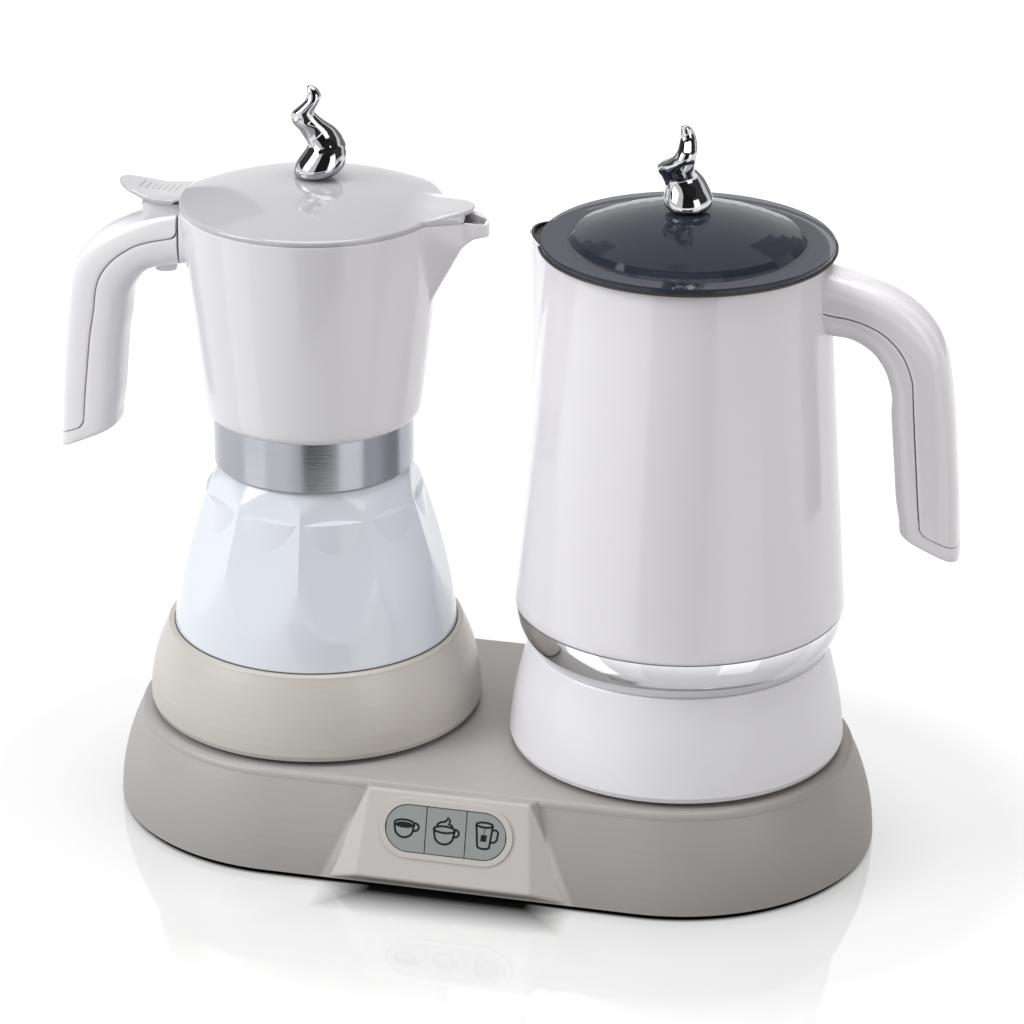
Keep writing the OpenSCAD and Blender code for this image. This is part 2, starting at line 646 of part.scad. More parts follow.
module coffee_column() color([0.9, 0.9, 0.89]) at_moka() difference() {
  union() {
    rod(column_flange_r, web_z + web_t, jug_floor_z);
    rod(column_r, web_z + web_t, jug_floor_z + 4);
    translate([0, 0, jug_floor_z + 4]) cylinder(r1 = column_r, r2 = column_r - 2, h = column_h - 4);
    translate([0, 0, jug_floor_z + column_h]) cylinder(r1 = column_r - 2, r2 = 2, h = 3);
  }
  rod(column_bore, web_z, jug_floor_z + column_h - 6);
  translate([0, 0, jug_floor_z + column_h - 6]) for (a = [0, 90]) rotate([90, 0, a])
    translate([0, 0, -column_r]) cylinder(r = 1.8, h = 2 * column_r, $fn = 24);
}

// Moka jug with its beak and the bracket of the lid's hinge
jug_bulge = 1.4;
jug_lean = -(jug_top_r - jug_bottom_r + jug_bulge);
jug_edge = 3;
jug_floor_t = 3;
function jug_r(z) = lean_r(jug_bottom_r, jug_lean, jug_bulge, (z - jug_floor_z) / jug_h);
module jug_blank(grow) rotate_extrude() polygon(concat(
  [[0, jug_floor_z]],
  arc_pts(jug_bottom_r - jug_edge + 0.3, jug_floor_z + jug_edge, jug_edge + grow, -90, -10, 4),
  [for (i = [1 : 10]) let (z = jug_floor_z + jug_edge + (jug_h - jug_edge) * i / 10) [jug_r(z) + grow, z]],
  [[0, jug_rim_z]]
));
beak_low = 36;
beak_bend = 10;
mouth_r = beak_reach - 7.8;
module slab(x, half_w, z0, z1) translate([x, -half_w, z0]) cube([1, 2 * half_w, z1 - z0]);
module beak_outer() {
  hull() {
    slab(jug_r(jug_rim_z - beak_low) - 1.6, 3, jug_rim_z - beak_low, jug_rim_z - beak_low + 1);
    slab(jug_top_r - 4.5, beak_half_w, jug_rim_z - 4, jug_rim_z);
    slab(mouth_r - 2.4, mouth_half_w, jug_rim_z - beak_bend, jug_rim_z);
  }
  hull() {
    slab(mouth_r - 2.6, mouth_half_w, jug_rim_z - beak_bend, jug_rim_z);
    slab(mouth_r + 1.9, mouth_half_w - 1.7, jug_rim_z - 6.4, jug_rim_z);
  }
  hull() {
    slab(mouth_r + 1.8, mouth_half_w - 1.8, jug_rim_z - 6.5, jug_rim_z - 0.1);
    slab(mouth_r + 4.8, mouth_half_w - 3.1, jug_rim_z - 6.7, jug_rim_z - 2.1);
    slab(beak_reach - 1, mouth_half_w - 5.6, jug_rim_z - 7.6, jug_rim_z - 6);
  }
}
module beak_channel() {
  w = jug_wall;
  hull() {
    slab(jug_top_r - 10, beak_half_w - w - 1, jug_rim_z - 5, jug_rim_z + 1);
    slab(jug_top_r - 9, beak_half_w - w - 6, jug_rim_z - 16, jug_rim_z + 1);
    slab(mouth_r - 3, mouth_half_w - w, jug_rim_z - 5.6, jug_rim_z + 1);
  }
  hull() {
    slab(mouth_r - 4, mouth_half_w - w, jug_rim_z - 5.6, jug_rim_z + 2);
    slab(mouth_r + 5.4, mouth_half_w - w - 2, jug_rim_z - 5.3, jug_rim_z + 2);
  }
  hull() {
    slab(mouth_r + 4, mouth_half_w - w - 2, jug_rim_z - 5.3, jug_rim_z + 2);
    slab(beak_reach + 1, mouth_half_w - w - 4, jug_rim_z - 5.9, jug_rim_z + 2);
  }
}
hinge_z = jug_rim_z - 4.8;
ear_r = 2.6;
ear_w = 3.2;
ear_skin = 1;
lug_half_w = 4.6;
lug_r = 2.8;
bracket_half_w = lug_half_w + 0.3 + ear_w;
// Side of the hinge's housing, with its foot just over the handle's arm
module ear_side() {
  translate([hinge_r, hinge_z]) circle(r = ear_r);
  polygon([[jug_top_r - 2, hinge_z + ear_r], [hinge_r, hinge_z + ear_r], [hinge_r + ear_r, hinge_z],
    [hinge_r + ear_r, arm_top(hinge_r + ear_r) + ear_foot], [jug_top_r - 2, arm_top(jug_top_r - 2) + ear_foot]]);
}
ear_foot = 0.4;
module collector_jug() color([0.93, 0.93, 0.92]) at_moka() difference() {
  union() {
    jug_blank(0);
    beak_outer();
    // Housing of the lid's hinge
    for (q = [[-bracket_half_w, ear_w], [bracket_half_w - ear_w, ear_w]]) facing_left() translate([0, q[0] + q[1], 0])
      rotate([90, 0, 0]) linear_extrude(q[1]) ear_side();
  }
  rotate_extrude() polygon(concat(
    [[0, jug_floor_z + jug_floor_t], [jug_bottom_r - jug_wall - 2, jug_floor_z + jug_floor_t]],
    [for (i = [0 : 10]) let (z = jug_floor_z + 6 + (jug_h - 6) * i / 10) [jug_r(z) - jug_wall, z]],
    [[jug_top_r - jug_wall, jug_rim_z + 1], [0, jug_rim_z + 1]]
  ));
  beak_channel();
  rod(column_r + 0.1, jug_floor_z - 1, jug_floor_z + jug_floor_t + 1);
  translate([-hinge_r, ear_skin - bracket_half_w, hinge_z]) rotate([-90, 0, 0]) cylinder(r = hinge_pin_r, h = 40, $fn = 48);
}
module lid_hinge_pin() color("silver") at_moka() translate([-hinge_r, ear_skin - bracket_half_w, hinge_z])
  rotate([-90, 0, 0]) cylinder(r = hinge_pin_r, h = 2 * bracket_half_w - ear_skin, $fn = 48);

// Moka lid: shallow dome, cover over the beak, thumb lever and hinge lug
lid_gap = 0.15;
lid_z = jug_rim_z + lid_gap;
lid_edge_h = 1.8;
lid_r = jug_top_r;
lid_top_z = lid_z + lid_edge_h + lid_dome_h;
function dome_z(r, r_edge, z_edge, h) = z_edge + h * (1 - pow(r / r_edge, 2));
skirt_r = jug_top_r - jug_wall - 0.5;
skirt_wall = 1.5;
skirt_h = 3.5;
beak_cover_z = lid_z + lid_edge_h + 2.7;
beak_cover_start = 35;
// Thumb lever: height over the lid's lower face and thickness along its length
lever_start = jug_top_r - 2;
lever_len = lever_reach - lever_start;
lever_path = [ // share of the length, height of the middle, thickness, droop of the edges
  [0, 0.9, 1.7, 0], [0.09, 0.85, 1.7, 0.9], [0.17, 0.1, 3.1, 1.2], [0.3, -0.1, 3.3, 1.1], [0.45, -0.15, 3.3, 0.8],
  [0.58, 0.3, 3.2, 0.3], [0.72, 1.2, 3.1, 0], [0.84, 2, 3, 0], [0.93, 2.8, 2.7, 0], [0.985, 3.3, 2.3, 0], [1, 3.4, 1.6, 0]
];
function lever_half_w(t) = lever_w / 2 * (t > 0.99 ? 0.2 : sqrt(1 - pow(min(t, 0.975), 2.3)));
function lever_top(t) = lookup(t, [for (q = lever_path) [q[0], q[1] + q[2] / 2]]);
module lever_body() skin([for (q = lever_path) let (hw = lever_half_w(q[0]))
  [for (k = [0 : 15]) let (a = 360 * k / 16 + 11.25, side = sign(cos(a)) * pow(abs(cos(a)), 0.5))
    [-lever_start - lever_len * q[0], -hw * side,
     lid_z + q[1] + q[2] / 2 * sign(sin(a)) * pow(abs(sin(a)), 0.6) - (sin(a) < 0 ? q[3] * pow(abs(side), 8) : 0)]]]);
module moka_lid() color([0.93, 0.93, 0.92]) at_moka() difference() {
  union() {
    rotate_extrude() polygon(concat(
      [[0, lid_z], [lid_r - 0.4, lid_z], [lid_r, lid_z + 0.4], [lid_r, lid_z + lid_edge_h - 0.5]],
      [for (i = [0 : 12]) let (r = (lid_r - 0.5) * (1 - i / 12)) [r, dome_z(r, lid_r - 0.5, lid_z + lid_edge_h, lid_dome_h)]]
    ));
    // Cover over the beak
    hull() {
      slab(beak_cover_start, 8, beak_cover_z - 1, beak_cover_z);
      slab(jug_top_r - 3.5, beak_half_w, lid_z, lid_z + lid_edge_h);
      slab(mouth_r - 1.5, mouth_half_w, lid_z, lid_z + 0.8);
      slab(mouth_r - 2.2, mouth_half_w - 2, beak_cover_z - 1.4, beak_cover_z - 0.2);
      slab(mouth_r + 0.8, 2.6, beak_cover_z - 1.6, beak_cover_z - 0.3);
    }
    lever_body();
    for (i = [1 : lever_ribs]) let (t = 0.08 + 0.6 * i / lever_ribs)
      translate([-lever_start - lever_len * t, -lever_w / 6, lid_z + lever_top(t) - 0.3])
        rotate([-90, 0, 0]) cylinder(r = 0.55, h = lever_w / 3, $fn = 24);
    // Lug round the pin
    translate([-hinge_r, -lug_half_w, hinge_z]) rotate([-90, 0, 0]) cylinder(r = lug_r, h = 2 * lug_half_w);
    translate([-hinge_r - 2, -lug_half_w, hinge_z]) cube([5.5, 2 * lug_half_w, lid_z + 1 - hinge_z]);
    difference() {
      tube(skirt_r, skirt_r - skirt_wall, lid_z - skirt_h, lid_z + 1.5);
      translate([-70, -36, lid_z - 8]) cube([36, 72, 8]);
      translate([30, -beak_half_w - 1, lid_z - 8]) cube([36, 2 * beak_half_w + 2, 8]);
    }
  }
  // Way out under the beak's cover, and the hollow underside
  hull() {
    slab(jug_top_r - 5, mouth_half_w - 3, lid_z - 1, lid_z + 1);
    slab(mouth_r + 2, mouth_half_w - 3, lid_z - 1, beak_cover_z - 1.9);
  }
  rotate_extrude() polygon(concat(
    [[0, lid_z - 1], [skirt_r - skirt_wall, lid_z - 1], [skirt_r - skirt_wall, lid_z + lid_edge_h - 0.6]],
    [for (i = [0 : 10]) let (r = (skirt_r - skirt_wall) * (1 - i / 10))
      [r, dome_z(r, lid_r - 0.5, lid_z + lid_edge_h, lid_dome_h) - lid_t]]
  ));
  translate([-hinge_r, -20, hinge_z]) rotate([-90, 0, 0]) cylinder(r = hinge_pin_r + 0.05, h = 40, $fn = 48);
  rod(knob_screw_r + slack, lid_z, lid_top_z + 1);
}

// Twisted knobs: a bulb that draws in, leans over and flicks up to a tip
knob_screw_r = 1.8;
knob_bore_h = 9;
knob_path = [ // height, two sideways shifts and two half widths, as shares of the knob's height and bulb
  [0, 0.04, 0, 0.55, 0.6], [0.02, 0.11, 0.02, 0.79, 0.81], [0.05, 0.21, 0.03, 0.92, 0.95],
  [0.112, 0.34, 0.02, 1.01, 1], [0.176, 0.44, 0.04, 0.99, 0.94], [0.24, 0.55, 0.1, 0.91, 0.87],
  [0.291, 0.61, 0.2, 0.82, 0.85], [0.335, 0.63, 0.32, 0.79, 0.83], [0.374, 0.54, 0.43, 0.79, 0.82],
  [0.419, 0.42, 0.52, 0.81, 0.79], [0.464, 0.29, 0.53, 0.8, 0.76], [0.514, 0.14, 0.44, 0.79, 0.68],
  [0.567, -0.04, 0.3, 0.74, 0.57], [0.623, -0.2, 0.21, 0.64, 0.47], [0.701, -0.29, 0.12, 0.47, 0.41],
  [0.76, -0.15, 0.09, 0.38, 0.37], [0.838, 0.08, 0.08, 0.31, 0.32], [0.9, 0.14, 0.13, 0.29, 0.28],
  [0.955, 0.08, 0.18, 0.24, 0.23], [0.989, 0.01, 0.21, 0.15, 0.14], [1, -0.01, 0.22, 0.08, 0.08]
];
knob_sides = 20;
// The tail, from half way up, has its own share of the height
module knob(z0, turn, tail) translate([0, 0, z0]) rotate([0, 0, turn]) difference() {
  skin([for (q = knob_path) [for (k = [0 : knob_sides - 1]) let (a = 360 * k / knob_sides, h = q[0] < 0.5 ? q[0] : 0.5 + (q[0] - 0.5) * tail)
    [knob_r * (q[1] + q[3] * cos(a)), knob_r * (q[2] + q[4] * sin(a)), knob_h * h]]]);
  translate([0, 0, -1]) cylinder(r = knob_screw_r, h = knob_bore_h + 1);
}
module knob_screw(z_under, z_knob) color("silver") {
  rod(3.2, z_under - 1.6, z_under);
  rod(knob_screw_r, z_under - touch, z_knob + knob_bore_h - 1);
}
moka_knob_turn = 13;
froth_knob_turn = moka_knob_turn + 90;
module moka_lid_knob() color([0.8, 0.8, 0.82]) at_moka() knob(lid_top_z, moka_knob_turn, 0.95);
module moka_knob_screw() at_moka() knob_screw(lid_top_z - lid_t - touch, lid_top_z);

// Handles: one swept form split along a seam into a core and a cover
bow = 3.2;
handle_pts = 14;
function side_pt(a, t, w) = [t / 2 * sign(cos(a)) * pow(abs(cos(a)), 2 / bow), w / 2 * sign(sin(a)) * pow(abs(sin(a)), 2 / bow)];
function seam_angle(cut, t) = acos(sign(cut) * pow(abs(cut) / (t / 2), bow / 2));
// Section of a half: side 1 is the outer cover, side -1 the inner core, 0 the whole form
function half_section(t, w, seam, side) = side == 0
  ? [for (k = [0 : handle_pts - 1]) side_pt(360 * k / handle_pts, t, w)]
  : let (a0 = seam_angle(seam + side * seam_gap / 2, t), lo = side > 0 ? -a0 : a0, hi = side > 0 ? a0 : 360 - a0)
    [for (k = [0 : handle_pts - 1]) side_pt(lo + (hi - lo) * k / (handle_pts - 1), t, w)];
// Stations of the sweep: [x, z, outward x, outward z, thickness, seam's shift]. The bend's table gives the
// outer and the inner point from the axis and the arm's level, and the grip runs on from it.
function handle_line(bend, arm_z, grip_r, drop, lean, grip_t, cut, cuts) = concat(
  [for (q = bend) let (t = norm([q[0] - q[2], q[1] - q[3]]))
    [(q[0] + q[2]) / 2, arm_z + (q[1] + q[3]) / 2, (q[0] - q[2]) / t, (q[1] - q[3]) / t, t, q[4]]],
  [for (i = [0 : 2]) let (z = -40 - (drop - 60) * i / 2)
    [grip_r - (z + grip_top) * tan(lean), arm_z + z, cos(lean), sin(lean), grip_t, cuts[i]]],
  [for (up = [end_cap, 0]) [grip_r + (drop - grip_top) * tan(lean) - up * sin(lean), arm_z - drop + up * cos(lean),
    cos(cut), -sin(cut), grip_t / cos(cut - lean / 2), cuts[3]]]
);
grip_top = 22;
end_cap = 6;
module handle_form(line, side) skin([for (q = line) [for (p = half_section(q[4], handle_w, q[5], side))
  [q[0] + p[0] * q[2], -p[1], q[1] + p[0] * q[3]]]]);
// The core runs from the wall to the end, where it closes under the cover
module core_form(line) {
  n = len(line);
  handle_form([for (i = [0 : n - 2]) line[i]], -1);
  handle_form([line[n - 2], line[n - 1]], 0);
}
module cover_form(line) let (n = len(line), e = line[n - 2])
  handle_form(concat([for (i = [0 : n - 3]) line[i]], [[e[0], e[1] + seam_gap, e[2], e[3], e[4], e[5]]]), 1);
moka_arm_z = jug_rim_z - 18;
stub_r = 50.7;
moka_bend = [ // outer x and z, inner x and z, seam's shift
  [43, 14.5, 43, -8.4, 0.6], [50.5, 13, 50.5, -9.2, 0.6], [56, 11.2, 56, -10.3, 0.7], [62, 9.2, 61.5, -11.8, 0.8],
  [70, 7, 65, -13.6, 0.8], [78.5, 4, 68, -17, 0.7], [85, -0.6, 70, -20, 0.6], [89.8, -5.8, 71.4, -23, 0.5],
  [93, -11, 72.2, -26.4, 0.3], [94.8, -17.5, 72.7, -30, 0.1], [95.9, -25, 73, -33.5, 0]
];
moka_line = handle_line(moka_bend, moka_arm_z, moka_grip_r, moka_grip_drop, 4.9, moka_grip_t, 25, [0.3, 0.6, 0.9, 1]);
function arm_top(x) = moka_arm_z + lookup(x, [for (q = moka_bend) [q[0], q[1]]]);
neck_screw_x = 58;
module facing_left() mirror([1, 0, 0]) children();
// A screw comes up through the arm, with its head sunk in the arm's lower side or in a boss there
module arm_screw(low_z, depth, grow) translate([neck_screw_x, 0, low_z]) {
  translate([0, 0, 0.4 - grow * 10]) cylinder(r = screw_head_r + grow * slack, h = screw_head_h - 0.4 + grow * 10);
  translate([0, 0, screw_head_h - touch]) cylinder(r = screw_r, h = depth + grow * slack);
}
moka_boss_z = moka_arm_z - 13.2;
module moka_handle_core() color([0.93, 0.93, 0.92]) at_moka() facing_left() difference() {
  union() {
    core_form(moka_line);
    intersection() {
      handle_form([moka_line[0], moka_line[1], moka_line[2]], 0);
      translate([40, -20, moka_arm_z - 20]) cube([stub_r - 40, 40, 40]);
    }
    translate([neck_screw_x, 0, moka_boss_z]) cylinder(r = 4.5, h = 5);
  }
  jug_blank(touch);
  arm_screw(moka_boss_z, 16, 1);
}
module moka_handle_cover() color([0.93, 0.93, 0.92]) at_moka() facing_left() difference() {
  cover_form(moka_line);
  translate([30, -20, moka_arm_z - 20]) cube([stub_r + seam_gap - 30, 40, 40]);
  arm_screw(moka_boss_z, 16, 1);
}
module moka_handle_screws() color("silver") at_moka() facing_left() arm_screw(moka_boss_z, 16, 0);

// Frothing jug: base with its drive, mirror band, painted body and inner pot
deck_z = rest_z + froth_ring_h;
shell_z = deck_z + band_h;
froth_rim_z = shell_z + froth_body_h;
froth_lean = froth_bottom_r - froth_top_r;
pot_floor_z = shell_z + 13;
motor_r = 13;
shaft_r = 1.2;
rotor_r = 14;
rotor_h = 6;
rotor_gap = 2;
rotor_z = pot_floor_z - rotor_gap - rotor_h;
froth_element_r = 36;
function shell_r(z) = froth_bottom_r - froth_lean * (z - shell_z) / froth_body_h;
module frother_base_ring() color([0.92, 0.92, 0.9]) at_froth() difference() {
  base_ring(froth_ring_r, 2.5, froth_ring_r - 2.5 - top_round - band_foot_r + 0.3, froth_ring_h, motor_r + 1);
  boss_holes();
}
module frother_base_cover() at_froth() base_cover(froth_ring_r - base_wall - slack);
module frother_base_screws() at_froth() base_screw_set();
module frother_power_plug() at_froth() power_plug();
module frother_motor() color([0.62, 0.63, 0.65]) at_froth() {
  rod(motor_r, plug_top + 5, deck_z + touch);
  rod(5, plug_top + 2, plug_top + 6);
  rod(motor_r + 6, deck_z + touch, deck_z + 1.5);
  rod(4, deck_z, deck_z + 5);
  rod(shaft_r, deck_z, rotor_z + rotor_h - 1);
}
module magnet_rotor() color([0.3, 0.3, 0.33]) at_froth() {
  difference() {
    rod(rotor_r, rotor_z, rotor_z + 2.5);
    rod(shaft_r + 0.05, rotor_z - 1, rotor_z + 9);
  }
  tube(4, shaft_r + 0.05, rotor_z - 4, rotor_z + 1);
  ring_of(4, rotor_r - 4.5) rod(3.5, rotor_z + 1, rotor_z + rotor_h);
}
module frother_heating_element() at_froth() heating_ring(froth_element_r, pot_floor_z);
band_wall = 1.2;
band_bulge = froth_bottom_r - 0.5 - band_foot_r;
module frother_chrome_band() color([0.85, 0.85, 0.87]) at_froth() rotate_extrude() polygon(concat(
  [for (i = [0 : 10]) let (t = i / 10) [band_foot_r + band_bulge * (2 * t - t * t), deck_z + band_h * t]],
  [for (i = [10 : -1 : 1]) let (t = i / 10) [band_foot_r + band_bulge * (2 * t - t * t) - band_wall, deck_z + band_h * t]],
  [[band_foot_r - band_wall, deck_z + band_wall], [band_foot_r - 7, deck_z + band_wall], [band_foot_r - 7, deck_z]]
));
// The spout is a wedge that grows out of the round body towards the rim
spout_low_z = froth_rim_z - 54;
spout_round = 2;
spout_turn = 29.3;
wedge_slope = 1.147;
module spout_post(x, y, r, z0, z1) translate([x, y, z0]) cylinder(r = r, h = z1 - z0, $fn = 24);
module spout_wedge(inset, above) facing_left() translate([-inset * wedge_slope, 0, 0]) hull() {
  spout_post(froth_spout_reach - spout_round, 0, spout_round, froth_rim_z - 0.5, froth_rim_z + above);
  spout_post(shell_r(spout_low_z) - spout_round + 1.2, 0, spout_round, spout_low_z, spout_low_z + 0.5);
  spout_post(shell_r(spout_low_z - 9) - 1.2, 0, 1, spout_low_z - 9, spout_low_z - 8.5);
  for (s = [-1, 1]) {
    rotate([0, 0, s * spout_turn]) spout_post(froth_top_r - 1, 0, 1, froth_rim_z - 0.5, froth_rim_z + above);
    rotate([0, 0, s * 11]) spout_post(shell_r(spout_low_z) - 1, 0, 1, spout_low_z, spout_low_z + 0.5);
  }
}
// Solid of revolution that follows the painted body at a depth below its surface
module body_solid(depth, z0, z1) rotate_extrude() polygon([
  [0, z0], [shell_r(z0) - depth, z0], [shell_r(z1) - depth, z1], [0, z1]
]);
module frother_shell() color([0.95, 0.93, 0.91]) at_froth() difference() {
  union() {
    rotate_extrude() polygon(concat(
      [[0, shell_z]],
      arc_pts(froth_bottom_r - 1.5, shell_z + 1.5, 1.5, -90, 0, 4),
      [[froth_top_r, froth_rim_z], [0, froth_rim_z]]
    ));
    spout_wedge(0, 0);
  }
  body_solid(froth_wall, shell_z + froth_wall, froth_rim_z + 1);
  spout_wedge(froth_wall, 1);
  rod(froth_bottom_r - 8, shell_z - 1, shell_z + 3);
}
pot_depth = froth_wall + froth_air;
rim_flange_t = 0.8;
module frother_pot() color([0.12, 0.12, 0.13]) at_froth() {
  difference() {
    union() {
      rotate_extrude() polygon(concat(
        [[0, pot_floor_z]],
        arc_pts(shell_r(pot_floor_z) - pot_depth - 3, pot_floor_z + 3, 3, -90, 0, 4),
        [[froth_top_r - pot_depth, froth_rim_z], [0, froth_rim_z]]
      ));
      spout_wedge(pot_depth, 0);
      intersection() {
        union() {
          rod(froth_top_r - 0.3, froth_rim_z, froth_rim_z + rim_flange_t);
          spout_wedge(0.3, 2);
        }
        rod(80, froth_rim_z, froth_rim_z + rim_flange_t);
      }
    }
    rotate_extrude() polygon(concat(
      [[0, pot_floor_z + pot_wall]],
      arc_pts(shell_r(pot_floor_z) - pot_depth - 3, pot_floor_z + 3, 3 - pot_wall, -90, 0, 4),
      [[froth_top_r - pot_depth - pot_wall, froth_rim_z + 2], [0, froth_rim_z + 2]]
    ));
    spout_wedge(pot_depth + pot_wall, 3);
  }
  rod(nipple_r, pot_floor_z, nipple_top);
}

// Whisk: a hub on the pot's stub, with a carrier ring and one long spring curled round it
nipple_r = 3;
nipple_top = pot_floor_z + pot_wall + 8;
hub_z = pot_floor_z + pot_wall + 0.4;
hub_r = 6;
hub_top = nipple_top + 5.8;
coil_z = hub_z + 4.1;
carrier_r = 0.9;
clip_half_w = 1.2;
post_curls = [9, 18];
coil_from = 2;
coil_span = 356;
function curl_angle(k) = coil_from + coil_span * k / whisk_curls;
module whisk_hub() color([0.15, 0.15, 0.16]) at_froth() {
  difference() {
    union() {
      rod(hub_r, hub_z, hub_top - 2);
      translate([0, 0, hub_top - 2]) cylinder(r1 = hub_r, r2 = hub_r - 2, h = 2);
    }
    rod(nipple_r + 0.1, hub_z - 1, nipple_top + 0.2);
  }
  translate([0, 0, coil_z]) {
    rotate_extrude() translate([whisk_ring_r, 0]) circle(r = carrier_r, $fn = 24);
    translate([hub_r - 1, -0.8, -0.7]) cube([whisk_ring_r + whisk_coil_r - hub_r, 1.6, 1.4]);
    translate([whisk_ring_r + whisk_coil_r - 1, -clip_half_w, -0.7]) cube([2.2, 2 * clip_half_w, 1.4]);
    for (k = post_curls) rotate([0, 0, curl_angle(k + 0.75)]) {
      translate([whisk_ring_r, 0, 0]) cylinder(r = 0.6, h = whisk_coil_r + 2, $fn = 24);
      translate([hub_r - 1, -0.8, whisk_coil_r + 1]) cube([whisk_ring_r - hub_r + 1.8, 1.6, 1.2]);
    }
  }
}
curl_steps = 8;
wire_sides = 6;
function coil_point(k, bore_r) = let (a = 360 * k, p = curl_angle(k), r = whisk_ring_r + bore_r * cos(a))
  [r * cos(p), r * sin(p), bore_r * sin(a)];
function unit(v) = v / norm(v);
function coil_ring(k) = let (
    d = 0.01, c = coil_point(k, whisk_coil_r), t = unit(coil_point(k + d, whisk_coil_r) - coil_point(k - d, whisk_coil_r)),
    out = unit(c - coil_point(k, 0)), u = unit(out - (out * t) * t), v = cross(t, u)
  ) [for (i = [0 : wire_sides - 1]) let (a = 360 * i / wire_sides) c + whisk_wire_d / 2 * (cos(a) * u + sin(a) * v)];
module whisk_coil() color("silver") at_froth() translate([0, 0, coil_z])
  skin([for (i = [0 : whisk_curls * curl_steps]) coil_ring(i / curl_steps)]);
// Least gap between neighbouring curls, on the inner side of the ring
inner_gap = (whisk_ring_r - whisk_coil_r) * coil_span / whisk_curls * PI / 180 - whisk_wire_d;
echo(inner_gap = inner_gap);

// See-through lid: flat rim, a step and a dome
froth_lid_gap = 0.2;
froth_lid_z = froth_rim_z + rim_flange_t + froth_lid_gap;
froth_lid_t = 1.8;
froth_plate_z = froth_lid_z + froth_lid_t;
step_h = 2.2;
step_r = 44;
froth_lid_top = froth_plate_z + froth_dome_h;
seal_r = 45;
seal_wall = 1.6;
lid_boss_h = 2.5;
module frother_lid() color([0.55, 0.62, 0.66, 0.6]) at_froth() difference() {
  union() {
    rotate_extrude() polygon(concat(
      [[seal_r - seal_wall, froth_lid_z - 7.5], [seal_r, froth_lid_z - 7.5], [seal_r, froth_lid_z]],
      [[froth_lid_r, froth_lid_z], [froth_lid_r, froth_plate_z - 0.5], [froth_lid_r - 0.5, froth_plate_z]],
      [[step_r, froth_plate_z], [step_r - 2, froth_plate_z + step_h]],
      [for (i = [1 : 12]) let (r = (step_r - 2) * (1 - i / 12))
        [r, dome_z(r, step_r - 2, froth_plate_z + step_h, froth_dome_h - step_h)]],
      [for (i = [12 : -1 : 0]) let (r = (step_r - 3.6) * (1 - i / 12))
        [r, dome_z(r, step_r - 2, froth_plate_z + step_h, froth_dome_h - step_h) - froth_lid_t]],
      [[seal_r - seal_wall, froth_lid_z + 0.4]]
    ));
    rod(6, froth_lid_top - froth_lid_t - lid_boss_h, froth_lid_top - froth_lid_t / 2);
  }
  rod(knob_screw_r + slack, froth_lid_z, froth_lid_top + 1);
}
module frother_lid_seal() color([0.2, 0.17, 0.15]) at_froth() rotate_extrude() polygon([
  [seal_r + touch, froth_lid_z - 6], [seal_r + 1.6, froth_lid_z - 5], [seal_r + 0.6, froth_lid_z - 4.2],
  [seal_r + 1.6, froth_lid_z - 3.4], [seal_r + touch, froth_lid_z - 2.6]
]);
module frother_lid_knob() color([0.8, 0.8, 0.82]) at_froth() knob(froth_lid_top, froth_knob_turn, 0.84);
module frother_knob_screw() at_froth() knob_screw(froth_lid_top - froth_lid_t - lid_boss_h, froth_lid_top);

// Frothing jug's handle
froth_arm_z = froth_rim_z - 16.9;
froth_bend = [
  [48, 15, 48, -10.8, -2.5], [56, 13, 56, -11.8, -2.5], [62, 11.7, 62.4, -12.4, -2.2], [70, 9.5, 67, -14.2, -1.7],
  [78, 6.4, 71.3, -17.2, -1.3], [85, 2.2, 74, -20.6, -1.1], [91, -3.2, 76.1, -24.3, -1.2], [95.2, -9, 77.5, -28.4, -1.4],
  [98.2, -15.8, 78.5, -32.6, -1.6], [99.6, -22, 78.7, -35, -1.9]
];
froth_line = handle_line(froth_bend, froth_arm_z, froth_grip_r, froth_grip_drop, 5.2, froth_grip_t, 24, [-2.1, -2.2, -2.3, -2.4]);
froth_screw_z = froth_arm_z - 11.9;
module frother_handle_core() color([0.95, 0.93, 0.91]) at_froth() difference() {
  core_form(froth_line);
  body_solid(-touch, shell_z, froth_rim_z);
  arm_screw(froth_screw_z, 14, 1);
}
module frother_handle_cover() color([0.95, 0.93, 0.91]) at_froth() difference() {
  cover_form(froth_line);
  body_solid(-0.3, shell_z, froth_rim_z);
  arm_screw(froth_screw_z, 14, 1);
}
module frother_handle_screws() color("silver") at_froth() arm_screw(froth_screw_z, 14, 0);

station_top_shell();
station_bottom_plate();
station_feet();
station_screws();
control_board();
key_board();
tact_switches();
key_guide();
cord_gland();
moka_power_socket();
frother_power_socket();
socket_contacts();
button_left();
button_middle();
button_right();
return_dome_left();
return_dome_middle();
return_dome_right();
boiler();
boiler_base_ring();
boiler_base_cover();
boiler_heating_element();
boiler_thermostat();
boiler_power_plug();
safety_valve();
boiler_base_screws();
coffee_funnel();
collector_jug();
threaded_collar();
sealing_gasket();
filter_plate();
coffee_column();
moka_handle_core();
moka_handle_cover();
moka_handle_screws();
lid_hinge_pin();
moka_lid();
moka_lid_knob();
moka_knob_screw();
frother_shell();
frother_pot();
frother_chrome_band();
frother_base_ring();
frother_base_cover();
frother_heating_element();
frother_motor();
magnet_rotor();
frother_power_plug();
frother_base_screws();
frother_handle_core();
frother_handle_cover();
frother_handle_screws();
whisk_hub();
whisk_coil();
frother_lid();
frother_lid_seal();
frother_lid_knob();
frother_knob_screw();
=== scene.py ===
"""Looks of a powered base with an electric moka pot and a milk frothing jug.

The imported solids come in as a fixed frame. Each sub-assembly below is a class that dresses its own
solids with procedural finishes and, where the real surface is softer or finer than its solid, builds
the finer piece in mesh code at the same place.
"""

from __future__ import annotations

